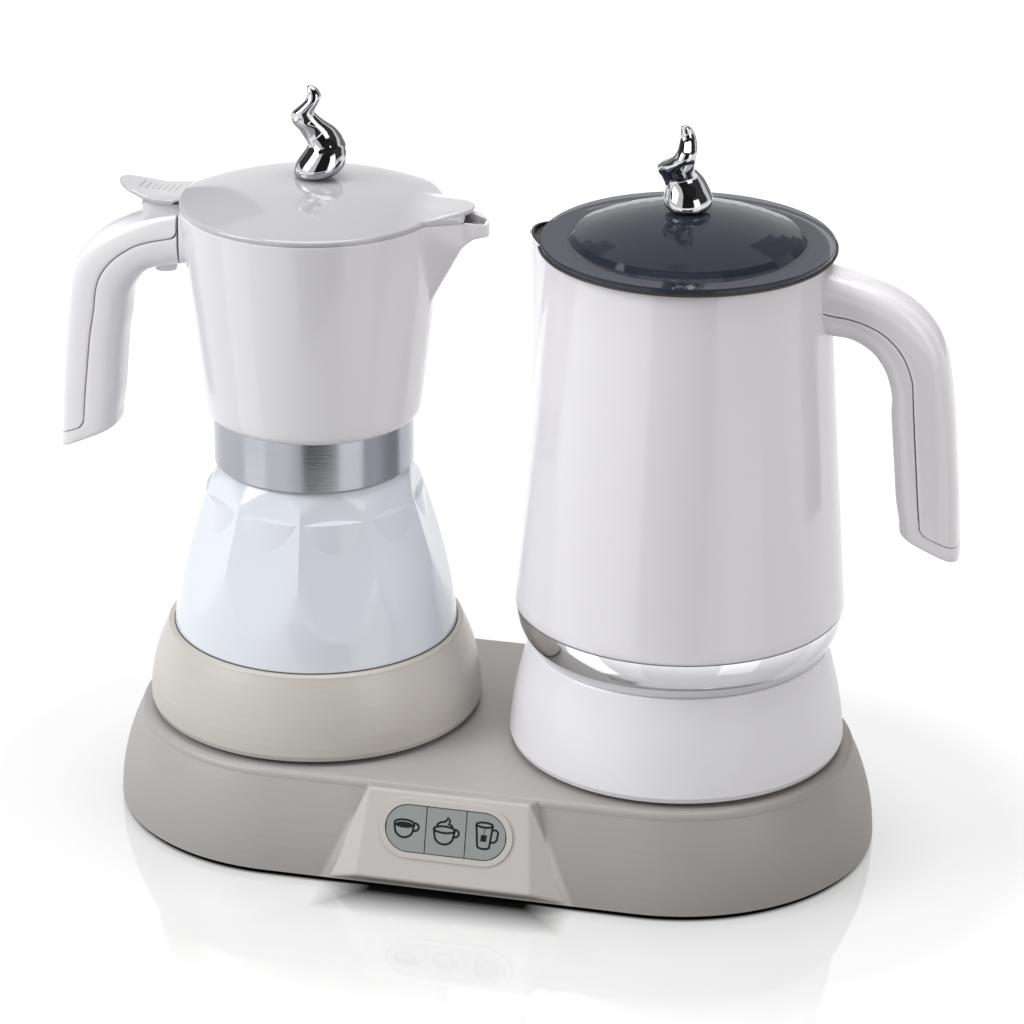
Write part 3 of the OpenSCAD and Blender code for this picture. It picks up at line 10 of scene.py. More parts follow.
import json
import logging
import math
from dataclasses import dataclass, field
from enum import Enum
from typing import Any, Callable, Iterable, Sequence

import bmesh
import bpy
from mathutils import Matrix, Vector

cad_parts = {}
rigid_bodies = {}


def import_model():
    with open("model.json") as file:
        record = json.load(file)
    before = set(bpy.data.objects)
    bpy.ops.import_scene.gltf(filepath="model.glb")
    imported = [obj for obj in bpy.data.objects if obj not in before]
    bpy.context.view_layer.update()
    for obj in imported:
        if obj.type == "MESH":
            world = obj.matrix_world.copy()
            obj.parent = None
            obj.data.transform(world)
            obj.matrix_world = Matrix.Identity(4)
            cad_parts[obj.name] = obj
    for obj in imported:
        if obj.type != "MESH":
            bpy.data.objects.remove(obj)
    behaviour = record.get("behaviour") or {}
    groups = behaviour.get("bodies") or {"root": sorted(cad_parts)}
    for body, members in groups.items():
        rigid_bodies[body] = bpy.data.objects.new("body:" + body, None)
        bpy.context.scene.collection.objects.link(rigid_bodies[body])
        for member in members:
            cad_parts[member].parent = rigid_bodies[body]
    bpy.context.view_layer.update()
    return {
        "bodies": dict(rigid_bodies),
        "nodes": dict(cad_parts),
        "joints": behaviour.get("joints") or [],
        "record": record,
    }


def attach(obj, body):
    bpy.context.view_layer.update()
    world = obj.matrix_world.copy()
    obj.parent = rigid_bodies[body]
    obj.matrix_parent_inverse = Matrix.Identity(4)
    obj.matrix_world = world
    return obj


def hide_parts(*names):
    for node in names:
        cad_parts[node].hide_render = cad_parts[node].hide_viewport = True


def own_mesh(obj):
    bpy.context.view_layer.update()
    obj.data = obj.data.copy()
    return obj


LOG = logging.getLogger("powered_base")
MM = 0.001
SEAT_X = 0.07225  # from the middle of the base to the axis of each seat, in metres
FRAME: dict[str, Any] = {}
Colour = tuple[float, float, float]
Point = tuple[float, float, float]
Pair = tuple[float, float]
Form = Callable[[float, float, float], float]


class Num:
    """A number socket with arithmetic: each operator adds one Math node."""

    def __init__(self, graph: "Nodes", socket: bpy.types.NodeSocket) -> None:
        """Keeps the socket and the node tree that new nodes go into."""
        self.graph = graph
        self.socket = socket

    def apply(self, operation: str, *others: "Num | float", clamp: bool = False) -> "Num":
        """Adds a Math node.

        Args:
            operation: the Math node's operation.
            others: its further operands.
            clamp: whether its result is kept between 0 and 1.

        Returns:
            The node's value.
        """
        return self.graph.number("ShaderNodeMath", {"operation": operation, "use_clamp": clamp}, self, *others)

    def _swap(self, operation: str, first: "Num | float") -> "Num":
        """Adds a Math node whose first operand is the other value."""
        return self.graph.number("ShaderNodeMath", {"operation": operation}, first, self)

    def __add__(self, other: "Num | float") -> "Num":
        """Sum."""
        return self.apply("ADD", other)

    def __radd__(self, other: float) -> "Num":
        """Sum with a plain number first."""
        return self._swap("ADD", other)

    def __sub__(self, other: "Num | float") -> "Num":
        """Difference."""
        return self.apply("SUBTRACT", other)

    def __rsub__(self, other: float) -> "Num":
        """Difference from a plain number."""
        return self._swap("SUBTRACT", other)

    def __mul__(self, other: "Num | float") -> "Num":
        """Product."""
        return self.apply("MULTIPLY", other)

    def __rmul__(self, other: float) -> "Num":
        """Product with a plain number first."""
        return self._swap("MULTIPLY", other)

    def power(self, exponent: float) -> "Num":
        """This value raised to a power."""
        return self.apply("POWER", exponent)

    def size(self) -> "Num":
        """The value without its sign."""
        return self.apply("ABSOLUTE")

    def step(self, slope: float, start: float = 0.5) -> "Num":
        """A mask that rises from 0 to 1 with the value.

        Args:
            slope: how steeply it rises.
            start: the mask where the value is 0.

        Returns:
            A value from 0 to 1.
        """
        return self.apply("MULTIPLY_ADD", slope, start, clamp=True)

    def share(self, whole: float) -> "Num":
        """The value as a share of a whole, from 0 to 1."""
        return self.apply("DIVIDE", whole, clamp=True)

    def least(self, other: "Num | float") -> "Num":
        """The smaller of two values."""
        return self.apply("MINIMUM", other)

    def most(self, other: "Num | float") -> "Num":
        """The larger of two values."""
        return self.apply("MAXIMUM", other)


class Nodes:
    """A node tree with one method for every kind of node."""

    def __init__(self, tree: bpy.types.NodeTree) -> None:
        """Empties the tree and keeps it."""
        self.tree = tree
        self.tree.nodes.clear()

    def node(self, kind: str, settings: dict[str, Any] | None = None,
             sockets: dict[Any, Any] | None = None) -> bpy.types.Node:
        """Adds a node.

        Args:
            kind: the node's type.
            settings: its properties, set first.
            sockets: values or links of its inputs, by name or number.

        Returns:
            The node.
        """
        made = self.tree.nodes.new(kind)
        for key, value in (settings or {}).items():
            setattr(made, key, value)
        for key, value in (sockets or {}).items():
            self.feed(made.inputs[key], value)
        return made

    def feed(self, socket: bpy.types.NodeSocket, value: Any) -> None:
        """Links a value into a socket, or sets the socket to a plain value."""
        if isinstance(value, Num):
            self.tree.links.new(value.socket, socket)
        elif isinstance(value, bpy.types.NodeSocket):
            self.tree.links.new(value, socket)
        elif isinstance(value, tuple) and len(value) == 3 and socket.type == "RGBA":
            socket.default_value = (*value, 1.0)
        else:
            socket.default_value = value

    def number(self, kind: str, settings: dict[str, Any], *values: "Num | float") -> Num:
        """Adds a node that gives a number.

        Args:
            kind: the node's type.
            settings: its properties.
            values: its inputs in order.

        Returns:
            The wrapped output.
        """
        return Num(self, self.node(kind, settings, dict(enumerate(values))).outputs[0])

    def seen(self) -> Num:
        """A mask that is 1 for what the camera, a mirror or glass looks at, and 0 for light on the object."""
        path = self.node("ShaderNodeLightPath").outputs
        camera, mirror, glass = (Num(self, path[f"Is {kind} Ray"]) for kind in ("Camera", "Glossy", "Transmission"))
        return camera.most(mirror).most(glass)


class Graph(Nodes):
    """A material's node tree with its surface shader."""

    def __init__(self, name: str) -> None:
        """Makes an empty material with its surface shader.

        Args:
            name: the material's name.
        """
        self.material = bpy.data.materials.new(name)
        self.material.use_nodes = True
        super().__init__(self.material.node_tree)
        self.shader = self.node("ShaderNodeBsdfPrincipled")
        self.node("ShaderNodeOutputMaterial", None, {0: self.shader.outputs[0]})

    def place(self) -> bpy.types.NodeSocket:
        """The point on the object, in metres in the object's own frame."""
        return self.node("ShaderNodeTexCoord").outputs["Object"]

    def split(self, vector: bpy.types.NodeSocket) -> tuple[Num, Num, Num]:
        """The three parts of a vector."""
        parts = self.node("ShaderNodeSeparateXYZ", None, {0: vector}).outputs
        return Num(self, parts[0]), Num(self, parts[1]), Num(self, parts[2])

    def moved(self, offset: Point) -> bpy.types.NodeSocket:
        """The object's point, shifted by an offset in metres."""
        return self.node("ShaderNodeMapping", {"vector_type": "POINT"},
                         {"Vector": self.place(), "Location": offset}).outputs[0]

    def noise(self, scale: float, detail: float = 2.0, vector: bpy.types.NodeSocket | None = None) -> Num:
        """Cloudy variation from 0 to 1.

        Args:
            scale: clouds per metre.
            detail: octaves.
            vector: where to read it, or the object's own point.

        Returns:
            The noise value.
        """
        made = self.node("ShaderNodeTexNoise", None, {
            "Vector": vector or self.place(), "Scale": scale, "Detail": detail, "Roughness": 0.5})
        return Num(self, made.outputs["Fac"])

    def mix(self, factor: "Num | float", first: Any, second: Any) -> bpy.types.NodeSocket:
        """A colour between two colours.

        Args:
            factor: share of the second.
            first: colour or socket.
            second: colour or socket.

        Returns:
            The mixed colour.
        """
        made = self.node("ShaderNodeMix", {"data_type": "RGBA"}, {0: factor, 6: first, 7: second})
        return made.outputs[2]

    def bump(self, height: Num, depth: float) -> bpy.types.NodeSocket:
        """Bends the surface normal by a height field, with its depth in metres for a height of 1."""
        return self.node("ShaderNodeBump", None, {"Strength": 1.0, "Distance": depth, "Height": height}).outputs[0]

    def surface(self, **sockets: Any) -> None:
        """Sets the surface shader's inputs; an underscore stands for a space."""
        for key, value in sockets.items():
            self.feed(self.shader.inputs[key.replace("_", " ")], value)


def dimmed(colour: Colour, shade: Colour) -> Colour:
    """A colour with each of its three parts taken down to a share."""
    return tuple(c * s for c, s in zip(colour, shade))


@dataclass(frozen=True)
class Finish:
    """A plain moulded or coated surface; the special finishes build on it."""

    name: str
    colour: Colour
    rough: float = 0.4
    metal: float = 0.0
    coat: float = 0.0
    coat_rough: float = 0.05
    specular: float = 0.5
    shade: Colour = (0.955, 0.955, 0.955)
    cloud: float = 9.0

    def graph(self) -> Graph:
        """The node tree with the plain values set."""
        made = Graph(self.name)
        made.surface(Metallic=self.metal, Coat_Weight=self.coat, Coat_Roughness=self.coat_rough,
                     Specular_IOR_Level=self.specular)
        return made

    def tone(self, graph: Graph, drift: Num) -> bpy.types.NodeSocket:
        """The surface's colour, with a drift from 0 to 1 between its shaded and its full tone."""
        return graph.mix(drift, dimmed(self.colour, self.shade), self.colour)

    def paint(self, graph: Graph) -> None:
        """Fills in what varies over the surface."""
        graph.surface(Base_Color=self.tone(graph, graph.noise(self.cloud, 3.0)),
                      Roughness=self.rough * 0.9 + self.rough * 0.2 * graph.noise(60.0, 2.0),
                      Normal=graph.bump(graph.noise(900.0, 2.0), 0.00001))

    def make(self) -> bpy.types.Material:
        """Builds the material.

        Returns:
            The finished material.
        """
        graph = self.graph()
        self.paint(graph)
        return graph.material


@dataclass(frozen=True)
class GrainedPlastic(Finish):
    """Moulded plastic with a fine spark-eroded grain."""

    shade: Colour = (0.94, 0.94, 0.94)
    cloud: float = 6.0
    grain: float = 1400.0
    grain_depth: float = 0.00002

    def paint(self, graph: Graph) -> None:
        """Grain in the normal, slow drift in tone and sheen."""
        speck = graph.noise(self.grain, 2.0)
        graph.surface(Base_Color=self.tone(graph, graph.noise(self.cloud, 3.0) * 0.7 + speck * 0.3),
                      Roughness=self.rough - 0.05 + 0.1 * graph.noise(25.0, 3.0),
                      Normal=graph.bump(speck, self.grain_depth))


@dataclass(frozen=True)
class StationPlastic(GrainedPlastic):
    """The base's taupe plastic, cooler at the left and darkened and warmed towards its right end as painted shade, and
    paler on the raised key panel's face and flanks, partly the panel's own tone and partly painted light.
    """

    # Painted light and shade: panel is the key panel's paler tone, partly its own colour and partly painted light on
    # its upward-tilted face and flanks; right is painted shade, darker and warmer towards the right end.
    panel: Colour = (0.585, 0.56, 0.535)
    panel_shade: Colour = (0.95, 0.95, 0.95)
    right: Colour = (0.37, 0.35, 0.33)
    across: float = 3.4
    panel_half: float = 0.0322
    panel_flare: float = 0.448
    panel_top: float = 0.041
    panel_out: float = 0.0732

    def tone(self, graph: Graph, drift: Num) -> bpy.types.NodeSocket:
        """The shell's colour from end to end, darker and warmer to the right as painted shade, with the panel's paler
        tone, partly painted light, on its face and flanks.
        """
        x, y, z = graph.split(graph.place())
        across = x.step(self.across)
        body = graph.mix(drift, graph.mix(across, dimmed(self.colour, self.shade), dimmed(self.right, self.shade)),
                         graph.mix(across, self.colour, self.right))
        face = graph.mix(drift, dimmed(self.panel, self.panel_shade), self.panel)
        half = self.panel_half + self.panel_flare * (self.panel_top - z).most(0.0)
        front = (-1.0 * y - self.panel_out).step(900.0)
        return graph.mix(front * (half - x.size()).step(500.0), body, face)


@dataclass(frozen=True)
class GlossCoat(Finish):
    """Glossy enamel or lacquer with a faint orange peel under a clear coat."""

    cloud: float = 5.0
    peel: float = 260.0
    peel_depth: float = 0.000012

    def paint(self, graph: Graph) -> None:
        """Orange peel in the normal and a slight drift in tone."""
        graph.surface(Base_Color=self.tone(graph, graph.noise(self.cloud, 2.0)),
                      Roughness=self.rough - 0.02 + 0.05 * graph.noise(40.0, 3.0),
                      Normal=graph.bump(graph.noise(self.peel, 1.0), self.peel_depth))


@dataclass(frozen=True)
class LidCoat(GlossCoat):
    """The moka lid's white lacquer with painted shade: its colour is dimmed to stand in for the grey reflection of its
    upward-facing top, most on the round dome and less on the hood over the beak and outside the dome's rim.
    """

    # Painted shade: colour is the round dome's tone and pale the hood's and rim's, both dimmed below the jug's white to
    # stand in for the grey reflection of the lid's top.
    pale: Colour = (0.50, 0.492, 0.51)
    hood_slope: float = 110.0
    hood_start: float = -4.3
    rim: float = 0.0492

    def tone(self, graph: Graph, drift: Num) -> bpy.types.NodeSocket:
        """The lacquer's colour, darkest on the round dome as painted shade, with the less dimmed pale tone blended in
        on the hood and beyond the round dome.
        """
        x, y, _ = graph.split(graph.place())
        along = x + SEAT_X
        hood = along.step(self.hood_slope, self.hood_start)
        beyond = ((along * along + y * y).power(0.5) - self.rim).step(900.0)
        return graph.mix(hood.most(beyond), super().tone(graph, drift), self.pale)


@dataclass(frozen=True)
class TurnedMetal(Finish):
    """Metal turned on a lathe, with fine rings round an upright axis."""

    shade: Colour = (0.8, 0.8, 0.8)
    cloud: float = 6.0
    axis_x: float = 0.0
    rings: float = 5200.0
    ring_depth: float = 0.000015

    def paint(self, graph: Graph) -> None:
        """Fine rings along the height that change slowly across them."""
        x, y, z = graph.split(graph.moved((-self.axis_x, 0, 0)))
        stretched = graph.node("ShaderNodeCombineXYZ", None, {
            0: x * self.cloud, 1: y * self.cloud, 2: z * self.rings}).outputs[0]
        streak = graph.noise(1.0, 3.0, stretched)
        graph.surface(Base_Color=self.tone(graph, streak),
                      Roughness=self.rough - 0.06 + 0.12 * streak,
                      Normal=graph.bump(streak, self.ring_depth))


@dataclass(frozen=True)
class MirrorMetal(Finish):
    """Polished chrome with the faintest haze."""

    shade: Colour = (0.97, 0.97, 0.97)
    cloud: float = 70.0
    wave: float = 35.0
    wave_depth: float = 0.000008

    def paint(self, graph: Graph) -> None:
        """A trace of haze and of waviness."""
        haze = graph.noise(self.cloud, 3.0)
        graph.surface(Base_Color=self.tone(graph, haze),
                      Roughness=self.rough + 0.03 * haze,
                      Normal=graph.bump(graph.noise(self.wave, 1.0), self.wave_depth))


@dataclass(frozen=True)
class ClearPlastic(Finish):
    """Smoked see-through plastic with an even density."""

    shade: Colour = (0.9, 0.9, 0.9)
    cloud: float = 12.0
    alpha: float = 0.45
    wave: float = 45.0
    wave_depth: float = 0.000002

    def paint(self, graph: Graph) -> None:
        """Thin body colour with faint moulding waves."""
        drift = graph.noise(self.cloud, 2.0)
        graph.surface(Base_Color=self.tone(graph, drift),
                      Roughness=self.rough + 0.02 * drift,
                      Alpha=self.alpha - 0.03 + 0.06 * drift,
                      Normal=graph.bump(graph.noise(self.wave, 1.0), self.wave_depth))


class Look(Enum):
    """Every finish of the object, by the part of it that wears it."""

    STATION = StationPlastic("station_taupe", (0.425, 0.415, 0.405), rough=0.42, grain_depth=0.000014)
    UNDERSIDE = GrainedPlastic("dark_underside", (0.035, 0.035, 0.037), rough=0.55)
    FOOT = GrainedPlastic("foot_rubber", (0.02, 0.02, 0.021), rough=0.8)
    KEY = GrainedPlastic("key_grey_green", (0.31, 0.33, 0.325), rough=0.5, grain_depth=0.00001)
    INK = Finish("pictogram_ink", (0.012, 0.012, 0.014), rough=0.6, specular=0.2)
    BOARD = Finish("board_green", (0.02, 0.12, 0.05), rough=0.35)
    SWITCH = Finish("switch_black", (0.02, 0.02, 0.02), rough=0.5)
    GUIDE = Finish("guide_natural", (0.6, 0.6, 0.57), rough=0.55)
    DOME = Finish("dome_silicone", (0.62, 0.6, 0.56), rough=0.6)
    CONTACT = TurnedMetal("contact_brass", (0.75, 0.55, 0.25), rough=0.3, metal=1.0)
    STEEL = TurnedMetal("zinc_steel", (0.55, 0.55, 0.57), rough=0.35, metal=1.0)
    MOTOR = TurnedMetal("motor_can", (0.5, 0.5, 0.52), rough=0.4, metal=1.0)
    MAGNET = Finish("magnet_nickel", (0.28, 0.28, 0.3), rough=0.35, metal=1.0)
    ELEMENT = Finish("element_oxide", (0.16, 0.13, 0.115), rough=0.55, metal=1.0)
    VALVE = TurnedMetal("valve_brass", (0.72, 0.53, 0.25), rough=0.28, metal=1.0)
    FUNNEL = TurnedMetal("funnel_aluminium", (0.78, 0.78, 0.79), rough=0.34, metal=1.0)
    GASKET = GrainedPlastic("gasket_white", (0.75, 0.73, 0.68), rough=0.6)
    BOILER = GlossCoat("boiler_enamel", (0.79, 0.825, 0.88), rough=0.22, coat=0.4, shade=(0.965, 0.97, 0.98))
    BOILER_RING = GlossCoat("ring_champagne", (0.59, 0.56, 0.52), rough=0.34, coat=0.15, shade=(0.97, 0.965, 0.96))
    MOKA_WHITE = GlossCoat("moka_white", (0.845, 0.832, 0.86), rough=0.2, coat=0.3, shade=(0.98, 0.98, 0.98))
    # Painted shade: the lid's colour is dimmed well below MOKA_WHITE to stand in for the grey reflection of its
    # upward-facing top.
    MOKA_LID = LidCoat("moka_lid_white", (0.42, 0.42, 0.445), rough=0.1, coat=0.4, shade=(0.98, 0.98, 0.98))
    COLLAR = TurnedMetal("collar_aluminium", (0.355, 0.365, 0.39), rough=0.18, metal=1.0, axis_x=-SEAT_X)
    CHROME = MirrorMetal("knob_chrome", (0.50, 0.50, 0.515), rough=0.03, metal=1.0)
    PEARL = GlossCoat("pearl_paint", (0.87, 0.855, 0.885), rough=0.2, coat=0.3, shade=(0.975, 0.97, 0.97), peel=420.0)
    POT = GlossCoat("pot_coating", (0.016, 0.014, 0.014), rough=0.4, shade=(0.8, 0.8, 0.8), peel_depth=0.000002)
    BAND = MirrorMetal("band_mirror", (0.66, 0.66, 0.68), rough=0.035, metal=1.0)
    FROTH_BASE = GlossCoat("froth_base_white", (0.88, 0.87, 0.90), rough=0.32, coat=0.2, shade=(0.975, 0.975, 0.975))
    WHISK = Finish("whisk_black", (0.03, 0.03, 0.032), rough=0.4)
    WIRE = MirrorMetal("whisk_wire", (0.72, 0.72, 0.74), rough=0.12, metal=1.0)
    CLEAR = ClearPlastic("smoked_clear", (0.032, 0.038, 0.056), rough=0.04, specular=0.25, alpha=0.68)
    SEAL = GrainedPlastic("seal_rubber", (0.035, 0.024, 0.02), rough=0.5)
    # Painted shade: dark strips in these finishes stand in for the shadow in the handles' seams and in the gap at the
    # boiler's foot.
    SEAM = Finish("seam_shadow", (0.10, 0.09, 0.085), rough=0.7)
    SEAM_LIGHT = Finish("seam_shadow_warm", (0.34, 0.29, 0.25), rough=0.7)

    def material(self) -> bpy.types.Material:
        """The finish as a material, made once."""
        found = bpy.data.materials.get("look_" + self.value.name)
        if found is None:
            found = self.value.make()
            found.name = "look_" + self.value.name
        return found


@dataclass
class Piece:
    """A mesh piece under construction, with its finish and the body that carries it."""

    name: str
    look: Look
    body: str
    points: list[Point] = field(default_factory=list)
    faces: list[tuple[int, ...]] = field(default_factory=list)

    def ring(self, points: Iterable[Point]) -> list[int]:
        """Adds points and returns their numbers."""
        start = len(self.points)
        self.points.extend(tuple(p) for p in points)
        return list(range(start, len(self.points)))

    def bridge(self, first: Sequence[int], second: Sequence[int], closed: bool = True) -> None:
        """Joins two rings of equal count with four-sided faces."""
        count = len(first)
        for i in range(count if closed else count - 1):
            j = (i + 1) % count
            self.faces.append((first[i], first[j], second[j], second[i]))

    def fan(self, ring: Sequence[int], tip: Point, flip: bool = False) -> None:
        """Closes a ring with triangles to a point."""
        centre = self.ring([tip])[0]
        for i in range(len(ring)):
            j = (i + 1) % len(ring)
            self.faces.append((ring[j], ring[i], centre) if not flip else (ring[i], ring[j], centre))

    def loft(self, rings: Sequence[Sequence[Point]], caps: bool = True) -> "Piece":
        """Skins closed rings in order.

        Args:
            rings: rings of points, all with the same count.
            caps: whether both ends are closed.

        Returns:
            This piece.
        """
        made = [self.ring(r) for r in rings]
        for first, second in zip(made, made[1:]):
            self.bridge(first, second)
        if caps:
            for ring, flip in ((made[0], False), (made[-1], True)):
                centre = tuple(sum(self.points[i][k] for i in ring) / len(ring) for k in range(3))
                self.fan(ring, centre, flip)
        return self

    def build(self, stands_for: Sequence[str] = (), levels: int = 0, sharp: float = 32.0) -> bpy.types.Object:
        """Makes the object and hangs it on its body.

        Args:
            stands_for: names of the solids that the piece replaces.
            levels: subdivision levels, applied to the mesh.
            sharp: angle in degrees above which an edge stays hard.

        Returns:
            The finished object.
        """
        mesh = bpy.data.meshes.new(self.name)
        mesh.from_pydata(self.points, [], self.faces)
        mesh.validate()
        edit = bmesh.new()
        edit.from_mesh(mesh)
        bmesh.ops.remove_doubles(edit, verts=edit.verts, dist=1e-7)
        bmesh.ops.recalc_face_normals(edit, faces=edit.faces)
        edit.to_mesh(mesh)
        edit.free()
        made = bpy.data.objects.new(self.name, mesh)
        bpy.context.scene.collection.objects.link(made)
        if levels:
            smooth = made.modifiers.new("smooth", "SUBSURF")
            smooth.levels = smooth.render_levels = levels
            shaped = bpy.data.meshes.new_from_object(made.evaluated_get(bpy.context.evaluated_depsgraph_get()))
            made.modifiers.clear()
            made.data = shaped
        made.data.shade_smooth()
        made.data.set_sharp_from_angle(angle=math.radians(sharp))
        made.data.materials.clear()
        made.data.materials.append(self.look.material())
        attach(made, self.body)
        if stands_for:
            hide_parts(*stands_for)
        LOG.info("piece %s on %s: %d faces", self.name, self.body, len(made.data.polygons))
        return made


def circle(centre: Point, radius: float, count: int, turn: float = 0.0) -> list[Point]:
    """Points of a level circle.

    Args:
        centre: its middle.
        radius: its radius.
        count: number of points.
        turn: angle of the first point in degrees.

    Returns:
        The points, anticlockwise from above.
    """
    return [(centre[0] + radius * math.cos(a), centre[1] + radius * math.sin(a), centre[2])
            for a in (math.radians(turn + 360.0 * k / count) for k in range(count))]


def oval(x: float, y: float, rx: float, ry: float, start: float, end: float, count: int = 20) -> list[Pair]:
    """Points of an oval arc round a middle, from one angle in degrees to another."""
    angles = (math.radians(start + (end - start) * i / (count - 1)) for i in range(count))
    return [(x + rx * math.cos(a), y + ry * math.sin(a)) for a in angles]


def turned(piece: Piece, axis_x: float, profile: Sequence[tuple[float, float]], count: int = 96) -> Piece:
    """Turns an open profile of radius and height, in millimetres, round an upright axis."""
    rings = [piece.ring(circle((axis_x, 0, z * MM), max(r, 0.0005) * MM, count)) for r, z in profile]
    for first, second in zip(rings, rings[1:]):
        piece.bridge(first, second)
    return piece


def spline(stations: Sequence[Sequence[float]], steps: int) -> list[list[float]]:
    """Smooth curve through stations of any number of values.

    Args:
        stations: rows of values.
        steps: samples between neighbouring stations.

    Returns:
        The sampled rows, the first and last station included.
    """
    rows = [list(s) for s in stations]
    out: list[list[float]] = []
    for i in range(len(rows) - 1):
        near = rows[max(i - 1, 0)], rows[i], rows[i + 1], rows[min(i + 2, len(rows) - 1)]
        for k in range(steps):
            t = k / steps
            out.append([0.5 * (2 * b + (c - a) * t + (2 * a - 5 * b + 4 * c - d) * t * t
                               + (3 * b - a - 3 * c + d) * t ** 3) for a, b, c, d in zip(*near)])
    out.append(rows[-1])
    return out


def dress(look: Look, *names: str) -> None:
    """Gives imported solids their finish.

    Args:
        look: the finish.
        names: the solids' names.
    """
    for name in names:
        solid = FRAME["nodes"][name]
        for slot in solid.material_slots:
            slot.material = look.material()
        if not solid.material_slots:
            solid.data.materials.append(look.material())
        LOG.info("solid %s wears %s", name, look.value.name)


def soft_max(first: float, second: float, soft: float) -> float:
    """The larger of two values, with a rounded change from one to the other."""
    over = max(soft - abs(first - second), 0.0)
    return max(first, second) + over * over / (4 * soft)


def soft_min(first: float, second: float, soft: float) -> float:
    """The smaller of two values, with a rounded change from one to the other."""
    return -soft_max(-first, -second, soft)


def slab(x: float, half: float, low: float, high: float) -> list[Point]:
    """Corners of a slice one millimetre thick across the spout's direction."""
    return [(x + step, side * half, z) for step in (0, 1) for side in (-1, 1) for z in (low, high)]


class Block:
    """A convex block with rounded edges round a set of corner points, in millimetres."""

    def __init__(self, corners: Iterable[Point], soft: float) -> None:
        """Finds the block's planes.

        Args:
            corners: the points that the block wraps.
            soft: how far its edges are rounded.
        """
        self.soft = soft
        edit = bmesh.new()
        for corner in corners:
            edit.verts.new(corner)
        bmesh.ops.convex_hull(edit, input=edit.verts)
        edit.normal_update()
        centre = sum((v.co for v in edit.verts), Vector()) / len(edit.verts)
        planes = set()
        for face in edit.faces:
            normal = face.normal if face.normal.dot(face.calc_center_median() - centre) > 0 else -face.normal
            planes.add((*(round(n, 3) for n in normal), round(normal.dot(face.calc_center_median()), 2)))
        self.planes = sorted(planes)
        edit.free()

    def outside(self, x: float, y: float, z: float) -> float:
        """How far a point lies outside the block."""
        found = -math.inf
        for a, b, c, d in self.planes:
            found = soft_max(found, a * x + b * y + c * z - d, self.soft)
        return found


def reach(outside: Form, base: Point, way: Point, far: float, near: float) -> float:
    """Where a ray leaves a form for good.

    Args:
        outside: the form, negative inside.
        base: the ray's start.
        way: its direction.
        far: where the search starts, outside the form.
        near: where it gives up.

    Returns:
        The distance from the start.
    """
    stride, halvings = 1.5, 11

    def here(run: float) -> float:
        """How far the ray's point at a distance lies outside the form."""
        return outside(base[0] + way[0] * run, base[1] + way[1] * run, base[2] + way[2] * run)

    high = low = far
    while low > near and here(low) > 0:
        high, low = low, low - stride
    for _ in range(halvings):
        middle = (high + low) / 2
        if here(middle) > 0:
            high = middle
        else:
            low = middle
    return high


def sector(fine: float, coarse: float) -> list[float]:
    """Angles round an axis in degrees, close together towards the spout at zero."""
    lip, spout, steps = 9, 34, 20
    near = [i * fine for i in range(int(lip / fine) + 1)]
    side = near + [near[-1] + (spout - near[-1]) * i / steps for i in range(1, steps + 1)]
    around = 360 - 2 * spout
    count = int(around / coarse)
    rest = [spout + around * i / count for i in range(1, count)]
    return side + rest + [360 - a for a in reversed(side[1:])]


def skin(piece: Piece, columns: Sequence[Sequence[Point]]) -> None:
    """Skins a piece through columns of points that stand side by side round its axis, and closes its ends."""
    piece.loft([list(ring) for ring in zip(*columns)])


def extruded(piece: Piece, outline: Sequence[tuple[float, float]], low: float, high: float, round_off: float,
             axis_x: float) -> None:
    """Adds a plate with rounded rims to a piece.

    Args:
        piece: the piece.
        outline: pairs in the plate's plane.
        low: its lower face.
        high: its upper face.
        round_off: how far its rims are rounded.
        axis_x: the axis that the outline's first distance starts from, to the left, in metres.
    """
    mid_u = sum(u for u, _ in outline) / len(outline)
    mid_v = sum(v for _, v in outline) / len(outline)
    rings = []
    for height, inset in ((low, 1), (low + 0.3 * round_off, 0.3), (low + round_off, 0), (high - round_off, 0),
                          (high - 0.3 * round_off, 0.3), (high, 1)):
        ring = []
        for u, v in outline:
            length = math.hypot(u - mid_u, v - mid_v) or 1.0
            share = 1 - inset * round_off / length
            ring.append((axis_x - (mid_u + (u - mid_u) * share) * MM, height * MM, (mid_v + (v - mid_v) * share) * MM))
        rings.append(ring)
    piece.loft(rings)


